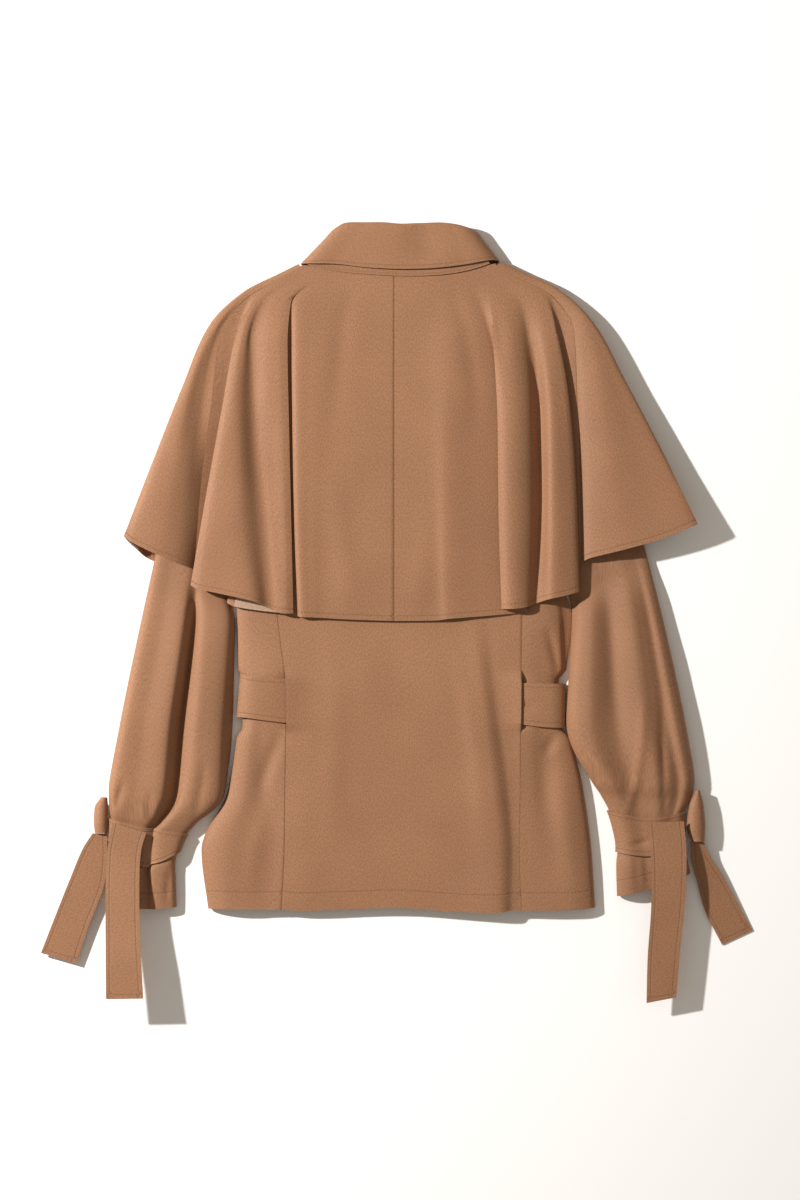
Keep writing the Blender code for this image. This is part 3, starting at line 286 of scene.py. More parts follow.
COLLAR = table("neck_u neck_v neck_z roll_u roll_v roll_z edge_u edge_v edge_z lean", """
end_left     352.0 290.0  4.2   364.0 262.0  3.2   350.0 287.0  0.8  270
front_left   323.0 279.0  4.4   348.0 238.0  3.6   316.0 273.5  0.8  262
under_left   310.0 268.6  5.6   342.6 232.6  5.4   303.0 266.2  3.4  225
fold_left    308.5 265.8  7.4   340.6 228.0  9.6   300.9 263.8  8.6  180
over_left    313.0 267.6  9.6   343.0 223.9 13.4   305.5 263.6 15.8  125
back_left    335.0 267.9  9.8   368.0 222.8 15.8   335.8 264.0 17.4   93
mid_left     366.0 268.2  9.8   385.0 222.9 17.0   366.0 267.4 17.6   90
centre       399.0 268.4  9.8   400.0 224.2 17.4   401.0 269.0 17.8   90
mid_right    431.0 268.0  9.8   420.0 223.6 17.0   432.0 268.2 17.8   90
back_right   462.0 266.8  9.8   445.0 223.2 15.8   463.0 264.8 17.4   87
over_right   484.5 265.1  9.6   464.0 226.6 14.0   490.0 260.3 15.8   55
fold_right   489.5 261.2  7.4   472.0 230.4  9.6   499.0 260.8  8.6    0
under_right  488.0 264.4  5.6   472.0 234.0  6.2   497.0 264.0  3.4  315
front_right  475.0 276.0  4.4   462.0 243.0  3.6   482.0 271.5  0.8  278
end_right    446.0 289.0  4.2   438.0 262.0  3.2   448.0 287.0  0.8  270
""")
COLLAR_SPREAD = 2.2
COLLAR_SIDEWAYS = np.array([0.8, 0.6])
ROLL_HALF = 0.07
STAND_MIDDLE = 0.5
STAND_SPREAD = 0.6
FALL_MIDDLE = 0.45
FALL_SPREAD = 0.9
COLLAR_PLACES = (0.0, 0.22, 0.44, 0.5, 0.56, 0.78, 1.0)


def collar_lines():
    lines = []
    for row in COLLAR:
        lean = np.radians(row["lean"])
        side = np.cos(lean)
        sideways = COLLAR_SIDEWAYS * (side, abs(side))
        out = np.array([*sideways, np.sin(lean)]) * COLLAR_SPREAD * MM
        neck = spot(row["neck_u"], row["neck_v"], row["neck_z"])
        roll = spot(row["roll_u"], row["roll_v"], row["roll_z"])
        edge = spot(row["edge_u"], row["edge_v"], row["edge_z"])
        stand_top = roll + ROLL_HALF * (neck - roll) - out
        fall_top = roll + ROLL_HALF * (edge - roll) + out
        stand = roll + STAND_MIDDLE * (neck - roll) - STAND_SPREAD * out
        fall = roll + FALL_MIDDLE * (edge - roll) + FALL_SPREAD * out
        line = np.array([neck, stand, stand_top, roll, fall_top, fall, edge])
        line[:, 2] = np.maximum(line[:, 2], FLOOR_Z * MM)
        lines.append(line)
    return np.array(lines)


# ---------------------------------------------------------------- the body

BODY_LEVELS = (400.0, 560.0, 617.0, 700.0, 790.0, 850.0)
BODY_COLUMNS = (
    "top_u top_v u400 u560 u617 u700 u790 u850 hem_u hem_v "
    "z_top z560 z617 z700 z790 z850 z_hem slot pinch"
)
BACK_RISE = 9.0
SLOT_TOP = 671.0
SLOT_BOTTOM = 732.0
UNDERARM = 560.0

BACK_CENTRE = table(BODY_COLUMNS, """
seam_left   308.4 268.3 276 273.5 278.3 287.2   286 285.2 282.3 909.8 9.8 9 10.2 14.6 13.5   13 12.5   3 0
flat_left     322 268.3 300   300   303   308   306   304   302 910.9 9.8 9 10.4   15 14.5   14   13 0.6 0
inner_left    355 268.5 345   350   350   352   350   350   350 909.4 9.8 9 10.6 15.5   15   14 12.5   0 0
middle        397 268.8 397   400   402   405   405   403   402 908.2 9.8 9 10.6 15.5   15 14.5 13.5   0 0
inner_right   440 268.3 450   455   456   458   462   462   460   912 9.8 9 10.6   16 16.5   16 14.5   0 0
fold_crest    455 267.8 470   474   476   485   496   502   502 912.4 9.8 9 10.8   18 18.5   18 17.5   0 0
fold_foot     465 267.6 480   483 487.5   496   507 511.5 510.5 910.6 9.8 9 10.2 13.8 13.8 13.8   14 0.6 0
flat_right    476   267 497   500   503   508   513 515.5 515.5 910.7 9.8 9 10.2 13.8 13.2 13.2 13.2 1.4 0
seam_right    488   266 520   527 522.8 521.6 520.8 519.8 522.2 910.8 9.8 9 10.2 14.6 13.5   13 12.8   3 0
""")

# From the princess seam, over the side fold and under it to the side seam.
BACK_SIDE_LEFT = table(BODY_COLUMNS, """
seam   306.8 269.4 275.6 273.1 277.9 286.8 285.6 284.8 281.9 909.8 9.8   9 10.2 14.6 13.5  13 12.5 -2.6   0
inner    291 280.4   267   265   270   276   275   272   266   910 6.6   9 10.4 14.8   13  12 12.5 -0.8   0
middle   270 294.2   258   256   258   262   262   252   243   910 6.6   9 10.4 14.4 11.5  13   14    0   0
outer    252 306.1   248   249   247   249   244   222   222 909.2 6.6   9  9.8 12.6 13.5  15 13.5    0   2
edge   243.5 311.7 240.6   246 239.2   240 230.6 204.5 210.6   909 6.6 8.8  7.6  8.4    9  10    9    0 4.6
round  237.5 315.7   237 243.4   237 239.2 228.4 201.7 208.5   909 6.6 8.3  4.4  4.6  4.8 4.8  4.8    0 4.6
low    233.5 318.3 235.2   242 238.6   241 230.2 203.6 210.4 908.9 6.6 7.8  1.2  1.2  1.2 1.2  1.2    0 4.6
under    230 320.6 233.6   241 243.4 245.4 234.8 208.2 214.8 908.8 6.6 7.4  0.8  0.8  0.8 0.8  0.8    0 4.6
""")

BACK_SIDE_RIGHT = table(BODY_COLUMNS, """
seam     490.2 266.4 520.4 527.3 523.1 521.9 521.1 520.2 522.5 910.8 9.8   9 10.2 14.6 13.5   13 12.8 -2.6  0
inner    505.5 277.5   530   533   531   530   532   533   537 910.8 6.6   9 10.4 14.4   13 13.5 13.5 -0.8  0
middle     525 291.3   541   539   541   543   546   552   556 910.6 6.6   9 10.2 12.6 10.5 13.5   14    0  0
outer      542 303.3   551   545   551   555   566   573   577 909.9 6.6   9  9.6   11   13   14 13.5    0 -3
edge     550.5 309.3 557.8   550 559.4   562 580.6 588.6 592.6 908.2 6.6 8.6  7.6  8.4    9    9    9    0 -6
round    556.5 313.5 560.4 552.2 563.5 563.6   583   591 594.8 907.9 6.6 7.6  4.4  4.6  4.8  4.8  4.8    0 -6
underarm 559.5 315.6 561.4 553.1 571.5 563.4 582.2   590 593.8 907.9 6.6 6.9    3  2.6  2.6  2.6  2.6    0 -6
low      560.8 316.6 561.9 553.7   568   562 580.8 588.8 592.6 907.9 6.6 6.3  0.9  0.9  0.9  0.9  0.9    0 -6
under      564 318.8 563.2 554.2 554.8 557.6 576.8 584.8 588.6   908 6.6 5.2  0.8  0.8  0.8  0.8  0.8    0 -6
""")

# The fronts lie on the surface, over the cape's fronts and the belt.
FRONT_COLUMNS = "top_u top_v u400 u560 u617 u700 u790 u850 hem_u hem_v z_top lap pinch"
FRONT_LEFT = table(FRONT_COLUMNS, """
side      230.0 320.6  233.6 241.5 243.8 245.8 235.2 208.6 215.2 908.8   5.1 0 4.6
armhole   252.0 306.1  248.0 256.0 256.0 258.0 250.0 228.0 232.0 909.0   5.1 0 0
shoulder  291.0 280.4  275.0 280.0 280.0 280.0 275.0 262.0 262.0 909.0   5.1 0 0
neck_side 310.0 276.0  300.0 305.0 305.0 305.0 303.0 298.0 298.0 909.0   3.1 0 0
neck      323.0 284.5  330.0 335.0 335.0 335.0 335.0 335.0 335.0 909.0   3.1 0 0
chest     352.0 295.0  358.0 360.0 360.0 360.0 360.0 360.0 360.0 908.0   3.1 0 0
edge      430.0 303.0  430.0 430.0 430.0 430.0 430.0 430.0 430.0 908.0   3.1 0 0
""")
FRONT_RIGHT = table(FRONT_COLUMNS, """
side      564.0 318.8  563.2 553.6 554.4 557.2 576.4 584.4 588.2 908.0   5.1 0 -6.0
armhole   542.0 303.3  549.0 541.0 541.0 545.0 560.0 565.0 570.0 909.0   5.1 0 0
shoulder  505.5 277.5  525.0 520.0 520.0 520.0 522.0 525.0 530.0 910.0   5.1 0 0
neck_side 487.0 275.0  495.0 495.0 495.0 495.0 495.0 497.0 498.0 911.0   3.1 0 0
neck      476.0 281.5  468.0 468.0 468.0 468.0 468.0 468.0 468.0 911.0   3.1 0 0
chest     448.0 294.0  442.0 442.0 442.0 442.0 442.0 442.0 442.0 909.5   3.1 0 0
lap       440.0 296.0  433.5 433.5 433.5 433.5 433.5 433.5 433.5 909.0   5.0 1 0
edge      362.0 303.0  362.0 362.0 362.0 362.0 362.0 362.0 362.0 908.0   5.0 1 0
""")
CAPE_FRONT_END = 613.0
CAPE_CLEARANCE = 0.4
BELT_TOP = 670.0
BELT_BOTTOM = 738.0
BELT_REACH_Z = 3.0
BELT_REACH_FADE = 1.6
SHOULDER_ROLL = 8.0


def window(v, start, end, soft=9.0):
    """1 between start and end, 0 outside them, with soft shoulders inside the ends."""
    rise = np.clip((v - start) / soft, 0, 1)
    fall = np.clip((end - v) / soft, 0, 1)
    both = np.minimum(rise, fall)
    return both * both * (3 - 2 * both)


def body_line(row, levels, on_floor):
    """One fold line of a body panel, with a place at each level from its top to its hem."""
    top, hem = row["top_v"], row["hem_v"]
    knots = np.array([top, *BODY_LEVELS, hem])
    here = top + (levels - levels[0]) * (BODY_LEVELS[0] - top) / (BODY_LEVELS[0] - levels[0])
    here = np.where(levels > BODY_LEVELS[0], levels, here)
    here = np.where(levels == levels[-1], hem, here)
    u_knots = [row["top_u"], *(row[f"u{level:.0f}"] for level in BODY_LEVELS), row["hem_u"]]
    u = np.where(here <= UNDERARM, np.interp(here, knots, u_knots), ease(knots, u_knots, here))
    u = u + row["pinch"] * window(here, BELT_TOP, BELT_BOTTOM)
    if on_floor:
        over_cape = (PLY + CAPE_CLEARANCE) * window(here, 0.0, CAPE_FRONT_END)
        over_belt = PLY * window(here, BELT_TOP, BELT_BOTTOM)
        z = FLOOR_Z + over_cape + over_belt + PLY * row["lap"]
    else:
        lower = [row[f"z{level:.0f}"] for level in BODY_LEVELS[1:]]
        z_knots = [BACK_RISE, BACK_RISE, *lower, row["z_hem"]]
        z = ease(knots, z_knots, here)
        near_floor = np.clip((BELT_REACH_Z - z) / BELT_REACH_FADE, 0, 1) * (here > UNDERARM)
        z = z + near_floor * PLY * window(here, BELT_TOP, BELT_BOTTOM)
        z = z + row["slot"] * window(here, SLOT_TOP, SLOT_BOTTOM, soft=7.0)
    rolled = np.clip((here - top) / SHOULDER_ROLL, 0, 1)
    z = row["z_top"] + (z - row["z_top"]) * np.sqrt(1 - (1 - rolled) ** 2)
    return spot(u, here, z)


# ---------------------------------------------------------------- the belt

BELT = table("top_u top_v bottom_u bottom_v z", """
front_left   392.0 678.0  392.0 722.0   0.8
under_left   262.0 676.6  262.0 719.6   0.8
round_left   246.0 674.8  242.0 718.0   0.8
low_left     241.6 674.0  237.8 717.2   2.4
fold_left    240.5 673.7  236.8 716.8   6.5
high_left    241.2 673.8  237.6 716.9  11.6
over_left    248.5 675.6  246.5 717.8  16.4
side_left    266.0 677.6  265.5 720.4  16.9
slot_left    286.8 678.8  287.6 722.9  14.7
in_left      300.0 679.6  300.0 723.6  11.4
hidden_left  345.0 681.0  345.0 724.6  10.6
hidden_right 460.0 683.0  460.0 726.0  10.6
in_right     508.0 683.4  508.0 725.0  11.0
slot_right   521.8 683.0  521.2 724.6  14.7
side_right   543.0 683.4  543.0 727.0  16.2
over_right   556.5 683.7  556.1 727.7  15.2
high_right   564.6 684.0  564.2 728.0  11.0
fold_right   565.6 684.0  565.2 728.0   6.2
low_right    564.2 684.0  563.8 728.0   2.2
round_right  559.5 683.6  559.0 727.6   0.8
under_right  545.0 681.6  545.0 725.8   0.8
front_right  397.0 678.0  397.0 722.0   0.8
""")


# ---------------------------------------------------------------- the sleeves

# Each station gives the sleeve's outer and inner edge, the height of its under and upper layer, how
# far its middle bows down, the part of its deep folds and how far its under layer is tucked in
# toward the body. The first one lies along the armhole.
SLEEVE_COLUMNS = "outer_u outer_v inner_u inner_v low top bow fold tuck"
SLEEVE_LEFT = table(SLEEVE_COLUMNS, """
armhole     227.6 321.5  239.9 558.5   3.0   9.0   0  0.0   0
head        209.0 366.0  236.0 573.0   3.0   9.6   0  0.1   0
upper_arm   174.0 470.0  231.5 589.0   3.0  10.0   0  0.2   1
under_cape  155.6 556.0  226.8 598.0   3.0  11.0   0  0.3   5
below_cape  142.3 617.0  232.6 624.0   0.8  21.0   0  0.9   4
elbow       120.3 723.7  227.0 724.0   0.8  27.0   0  1.0   8
forearm     109.0 790.0  223.0 795.0   0.8  25.0   4  1.0   2
gathered    110.0 812.0  196.0 823.0   0.8  20.0   4  0.8   0
band_top    111.0 820.0  184.5 836.0   2.7  17.0   2  0.5   0
band_foot   111.0 851.0  179.5 847.0   2.7  16.0  15  0.5   0
below_band  110.0 872.0  174.5 865.0   0.8  18.0   4  0.6   0
hem         109.5 903.0  176.0 907.0   0.8  15.0   4  0.3   0
""")
SLEEVE_RIGHT = table(SLEEVE_COLUMNS, """
armhole     565.7 319.0  554.0 558.5   3.0   9.0   0  0.0   0
head        590.0 366.0  560.0 573.0   3.0   9.6   0  0.1   0
upper_arm   625.0 470.0  568.0 589.0   3.0  10.0   0  0.2   3
under_cape  645.5 552.0  576.5 599.0   3.0  10.6   0  0.3   8
below_cape  660.5 610.0  575.0 620.0   0.8  20.0   0  0.8   5
elbow       685.0 722.0  567.0 722.0   0.8  26.0   0  1.0   0
forearm     694.3 780.0  590.0 777.5   0.8  24.0   4  1.0   0
gathered    690.0 800.0  602.0 796.0   0.8  18.5   3  0.8   0
band_top    683.0 816.0  611.5 815.0   2.7  16.0   8  0.5   0
band_foot   683.0 846.0  618.5 847.0   2.7  15.0   6  0.5   0
below_band  687.0 860.0  617.0 866.0   0.8  16.5   3  0.6   0
hem         690.3 874.0  617.8 896.5   0.8  14.0   3  0.3   0
""")

ARMHOLE_GAP = 0.7
UNDERARM_GAP = 0.9
UNDERARM_FROM = 0.6
UPPER_LAYER = 0.3
LOWER_BOW = 0.35
TUCKED_ROW = "inner_low"

# Round the sleeve: the place across it, the height between the layers and the part of the fold.
RING_COLUMNS = "across rise fold"
RING_UNDER = table(RING_COLUMNS, """
inner_low   0.97 0.00 0.00
under_inner 0.70 0.00 0.00
under_mid   0.45 0.00 0.00
under_outer 0.20 0.00 0.00
outer_low   0.05 0.00 0.00
""")
RING_LEFT = table(RING_COLUMNS, """
outer_edge  0.00 0.42 0.00
outer_top   0.04 0.93 0.00
crest       0.24 0.97 0.00
lip         0.46 0.99 0.00
fold_wall   0.51 0.93 0.24
fold_floor  0.57 0.88 0.56
second_lip  0.65 0.82 0.04
second_top  0.80 0.82 0.00
inner_top   0.95 0.66 0.00
inner_edge  1.00 0.38 0.00
""") + RING_UNDER
RING_RIGHT = table(RING_COLUMNS, """
outer_edge  0.00 0.42 0.00
outer_top   0.04 0.62 0.00
ridge       0.09 0.73 0.00
valley      0.15 0.76 0.12
valley_side 0.24 0.84 0.05
crest       0.34 0.93 0.00
trough      0.60 0.88 0.14
second_top  0.82 1.00 0.00
inner_top   0.95 0.78 0.00
inner_edge  1.00 0.40 0.00
""") + RING_UNDER


def armhole(side_rows, share):
    """The armhole edge of the side back panel, share 0 at the shoulder and 1 at the underarm."""
    under = side_rows[-1]
    v = under["top_v"] + share * (UNDERARM - under["top_v"])
    knots = [under["top_v"], BODY_LEVELS[0], UNDERARM]
    return np.interp(v, knots, [under["top_u"], under["u400"], under["u560"]]), v


def sleeve_lines(stations, ring, side_rows, away):
    """One line for each row of the ring, from the armhole to the hem."""
    lines = []
    for row in ring:
        places = []
        for station in stations:
            f = row["across"]
            if station["name"] == "armhole":
                u, v = armhole(side_rows, f)
                near = np.clip((f - UNDERARM_FROM) / (1 - UNDERARM_FROM), 0, 1)
                u = u + away * (ARMHOLE_GAP + UNDERARM_GAP * near)
            else:
                u = station["outer_u"] + f * (station["inner_u"] - station["outer_u"])
                v = station["outer_v"] + f * (station["inner_v"] - station["outer_v"])
                part_of_bow = 1 if row["rise"] > UPPER_LAYER else LOWER_BOW
                v = v + station["bow"] * 4 * f * (1 - f) * part_of_bow
            if row["name"] == TUCKED_ROW:
                u = u - away * station["tuck"]
            rise = row["rise"] - row["fold"] * station["fold"]
            z = station["low"] + rise * (station["top"] - station["low"])
            places.append(spot(u, v, z))
        lines.append(places)
    return np.array(lines)


# The tie round the sleeve lies a ply and a little air outside it, between these two stations.
BAND_AIR = 0.0006
BAND_LIFT = PLY * MM + BAND_AIR
BAND_BETWEEN = (7.5, 9.5)

TAIL_COLUMNS = "left_u left_v right_u right_v z"
TIE_TAILS = {
    "tie_tail_left_straight": table(TAIL_COLUMNS, """
root   113.0 822.5  146.5 832.5  21.6
near   107.6 852.0  141.4 851.0  22.6
middle 106.3 905.0  140.0 908.0  29.0
lower  106.7 951.0  141.6 951.0  35.0
end    107.3 997.5  144.4 997.0  39.5
"""),
    "tie_tail_left_slanted": table(TAIL_COLUMNS, """
root   92.5 833.5  107.0 833.6  12.0
near   83.0 848.0  107.0 858.5  10.5
middle 70.0 878.5  104.5 883.0   9.0
lower  53.5 920.0   89.0 925.0   8.0
end    40.5 953.3   75.9 963.6   7.0
"""),
    "tie_tail_right_straight": table(TAIL_COLUMNS, """
root   648.0 823.0  683.5 821.0  20.2
near   650.6 854.6  686.0 848.0  20.6
middle 651.0 905.0  684.8 900.0  21.0
lower  647.4 957.0  679.7 951.0  20.5
end    646.3 1002.7 675.9 997.0  19.5
"""),
    "tie_tail_right_slanted": table(TAIL_COLUMNS, """
root   690.5 842.0  703.8 842.0  10.5
near   692.0 863.0  711.0 857.5   7.5
middle 697.5 882.0  724.0 877.5   4.5
lower  705.5 911.0  738.0 903.0   2.6
end    722.8 945.5  753.2 931.2   0.8
"""),
}

# The knot: the tie folded round its own tails, a short flattened tube. KNOT_STEP is in degrees.
KNOT_STEP = 30
KNOT_SECTIONS = 28
KNOT_CELL = 0.002
KNOT_COLUMNS = "u v z half_width half_height"
KNOTS = {
    "cuff_knot_left": table(KNOT_COLUMNS, """
top    104.0 797.5  12.0  2.6 4.0
upper  101.2 808.0  12.0  6.2 6.2
lower  100.8 822.0  12.0  6.6 7.0
foot   101.3 833.0  12.0  6.0 5.6
"""),
    "cuff_knot_right": table(KNOT_COLUMNS, """
top    698.0 790.5  10.5  1.6 3.2
upper  696.6 806.0  10.5  6.6 6.0
lower  696.2 827.0  10.5  8.8 7.0
foot   698.5 841.5  10.5  5.8 5.4
"""),
}


# ---------------------------------------------------------------- soft creases

# A crease runs through four places and fades out at its ends. `width` is half its width in steps,
# `lift` its height in millimetres: a ridge is above 0, a trough below.
CREASE_COLUMNS = "u0 v0 u1 v1 u2 v2 u3 v3 width lift"
CREASES = table(CREASE_COLUMNS, """
neck_left     352 282  344 320  338 372  333 430    9 -0.9
neck_right    452 284  466 330  474 380  478 440    8 -0.9
left_panel    330 470  338 520  345 570  350 618   12  0.9
right_panel   430 500  425 545  420 590  418 620   12  0.8
left_flare    266 400  270 450  274 520  281 590    9 -1.6
flute_trough  534 340  539 400  541 500  538 595    4 -3.6
side_trough   547 626  552 645  557 662  560 678    5 -2.2
low_trough    558 731  554 739  549 747  545 756    5 -2.4
left_slant    283 727  275 748  267 770  258 792    7 -2.0
hem_left      262 800  258 830  252 860  247 895    9  1.0
back_left     330 640  336 700  334 770  330 850   12  0.8
back_ridge    455 640  466 700  476 760  482 850    8  0.8
right_low     556 770  560 805  566 840  570 880    9  1.0
sleeve_trough 608 586  612 640  616 700  624 760    8 -2.0
sleeve_inner  580 600  578 650  573 700  580 750    6  1.2
sleeve_fold   194 600  191 660  188 720  182 790    6 -3.8
collar_dent   412 226  420 238  427 250  432 262   16 -1.5
cuff_ridge    643 698  641 745  636 782  625 819    5  2.0
cuff_valley   661 700  662 745  663 780  664 818    4 -2.2
left_gather   124 780  121 790  118 800  116 810    4 -2.2
left_gather_2 150 790  150 802  150 814  151 828    4 -1.4
left_gather_3 205 760  203 780  199 800  194 822    5 -1.4
pinch_cuff    651 840  644 842  637 844  629 847    3 -1.6
left_cuff     170 866  168 880  167 892  167 908    4 -1.4
right_cuff    640 852  641 864  642 878  643 892    4  1.0
belt_pinch    522 704  527 705  532 706  538 708    3 -1.2
""")
CREASE_SPANS = 3
CREASE_FADE = 0.7
FAR_AWAY = 1e9


def crease_lift(grid):
    """How far the creases lift each point of a grid, in metres."""
    u = grid[..., 0] / STEP + CENTRE_U
    v = CENTRE_V - grid[..., 1] / STEP
    rise = np.zeros(u.shape)
    for row in CREASES:
        places = [np.array([row[f"u{k}"], row[f"v{k}"]]) for k in range(CREASE_SPANS + 1)]
        nearest = np.full(u.shape, FAR_AWAY)
        share = np.zeros(u.shape)
        for k in range(CREASE_SPANS):
            start, along = places[k], places[k + 1] - places[k]
            t = ((u - start[0]) * along[0] + (v - start[1]) * along[1]) / (along @ along)
            t = np.clip(t, 0, 1)
            gap = np.hypot(u - start[0] - t * along[0], v - start[1] - t * along[1])
            share = np.where(gap < nearest, (k + t) / CREASE_SPANS, share)
            nearest = np.minimum(nearest, gap)
        fade = np.sin(np.pi * np.clip(share, 0, 1)) ** CREASE_FADE
        rise += row["lift"] * fade * np.exp(-((nearest / row["width"]) ** 2))
    return rise * MM


# Creases show in full on cloth that lies level, fade out on steep walls, and stay off whatever lies
# lower than UNDER_LAYER above the surface.
UNEVEN_SIZE = 0.045
UNEVEN_LIFT = 0.0007
UNDER_LAYER = 0.006
UNDER_FADE = 0.004
LEVEL_GAIN = 1.6
STEEP_LOSS = 0.3


def creased(grid, closed=False):
    """The grid with its creases and a faint unevenness."""
    level = np.abs(facing(grid, closed)[..., 2])
    share = np.clip(level * LEVEL_GAIN - STEEP_LOSS, 0, 1)
    share = share * np.clip((grid[..., 2] - UNDER_LAYER) / UNDER_FADE, 0, 1)
    rough = [noise.noise(Vector(point) / UNEVEN_SIZE) for point in grid.reshape(-1, 3).tolist()]
    rough = np.array(rough).reshape(share.shape)
    moved = grid.copy()
    moved[..., 2] += (crease_lift(grid) + UNEVEN_LIFT * rough) * share
    return moved


# ---------------------------------------------------------------- meshes

WELD = 1e-6
SMOOTH_ANGLE = 55.0
NO_STITCH_NEAR = 0.05


def active():
    return bpy.context.view_layer.objects.active


def run_lengths(grid, axis):
    """Length along the grid from its first line, for each point."""
    steps = np.linalg.norm(np.diff(grid, axis=axis), axis=2)
    zero = np.zeros_like(np.take(steps, [0], axis=axis))
    return np.concatenate([zero, np.cumsum(steps, axis=axis)], axis=axis)


def stitch_gaps(around, along, stitched):
    """Each point's distance from the nearest stitch line, in metres."""
    gap = np.full(around.shape, NO_STITCH_NEAR)
    measures = (around, around[-1:] - around, along, along[:, -1:] - along)
    for measure, distance in zip(measures, stitched, strict=True):
        if distance:
            gap = np.where(np.abs(measure - distance) < np.abs(gap), measure - distance, gap)
    return gap


def cloth(name, grid, finish, closed=False, thickness=SHELL, stitched=(0, 0, 0, 0)):
    """A shell of cloth on the grid. `stitched` holds how far in the stitch lines lie, in metres,
    from the grid's start and end across and its start and end down; 0 leaves an edge plain."""
    full = np.concatenate([grid, grid[:1]]) if closed else grid
    across, down = full.shape[:2]
    bpy.ops.object.select_all(action="DESELECT")
    bpy.ops.mesh.primitive_grid_add(x_subdivisions=across - 1, y_subdivisions=down - 1, size=1.0)
    shell = active()
    shell.name = name
    mesh = shell.data
    flat = np.empty(len(mesh.vertices) * 3)
    mesh.vertices.foreach_get("co", flat)
    flat = flat.reshape(-1, 3)
    i = np.round((flat[:, 0] + 0.5) * (across - 1)).astype(int)
    j = np.round((flat[:, 1] + 0.5) * (down - 1)).astype(int)
    mesh.vertices.foreach_set("co", full[i, j].ravel())

    around, along = run_lengths(full, 0), run_lengths(full, 1)
    corner = np.empty(len(mesh.loops), dtype=np.int32)
    mesh.loops.foreach_get("vertex_index", corner)
    uv = np.stack([around[i, j], along[i, j]], axis=1)[corner]
    mesh.uv_layers[0].data.foreach_set("uv", uv.ravel())
    # Each point's distance from the nearest stitch line; the material paints shade into the groove along it.
    gap = stitch_gaps(around, along, stitched)[i, j] / MM
    mesh.attributes.new("stitch", "FLOAT", "POINT").data.foreach_set("value", gap)

    if closed:
        bpy.ops.object.mode_set(mode="EDIT")
        bpy.ops.mesh.select_all(action="SELECT")
        bpy.ops.mesh.remove_doubles(threshold=WELD)
        bpy.ops.object.mode_set(mode="OBJECT")
    wall = shell.modifiers.new("wall", "SOLIDIFY")
    wall.thickness = thickness
    wall.offset = 0.0
    wall.use_rim = True
    bpy.ops.object.modifier_apply(modifier=wall.name)
    bpy.ops.object.shade_smooth_by_angle(angle=np.radians(SMOOTH_ANGLE))
    shell.data.materials.append(finish)
    return shell


# ---------------------------------------------------------------- materials

# `pitch` is the distance between two lines of the twill, and `relief` their height, in metres.
GABARDINE = {"colour": (0.284, 0.136, 0.067, 1), "roughness": 0.66}
GABARDINE_WEAVE = {"pitch": 0.0009, "relief": 0.00012}
SATIN = {"colour": (0.40, 0.27, 0.185, 1), "roughness": 0.36}
SATIN_WEAVE = {"pitch": 0.0005, "relief": 0.00004}
THREAD = {"colour": (0.33, 0.17, 0.095, 1), "roughness": 0.55}
FLOOR = {"colour": (0.96, 0.96, 0.96, 1), "roughness": 0.9}
SHEEN = 0.1
SHEEN_ROUGHNESS = 0.4
SPECULAR = 0.35

# The twill and the grain run along the slant. A wave texture of scale 1 repeats after WAVE metres.
SLANT = 58.0
WAVE = 0.314
TWILL_WAVER = 0.6
TWILL_BUMP = 0.35
GRAIN_SCALE = 800.0
GRAIN_DRAWN = (1, 0.6, 1)
DYE_SCALE = 14.0

# How dark and how light each pattern makes the colour, at these two values of it.
TONE_FROM, TONE_TO = 0.3, 0.7
TONES = table("dark light", """
dye    0.95 1.05
grain  0.78 1.24
twill  0.92 1.08
""")

# The groove of a stitch line, in millimetres either side of it, and how much painted shade darkens the cloth
# in it.
GROOVE_FROM, GROOVE_TO = 0.1, 1.1
GROOVE_PAINTED_SHADE = 0.84
GROOVE_BUMP = 0.6
GROOVE_DEPTH = 0.0004


def plain(name, colour, roughness):
    finish = bpy.data.materials.new(name)
    finish.use_nodes = True
    shader = finish.node_tree.nodes["Principled BSDF"]
    shader.inputs["Base Color"].default_value = colour
    shader.inputs["Roughness"].default_value = roughness
    return finish


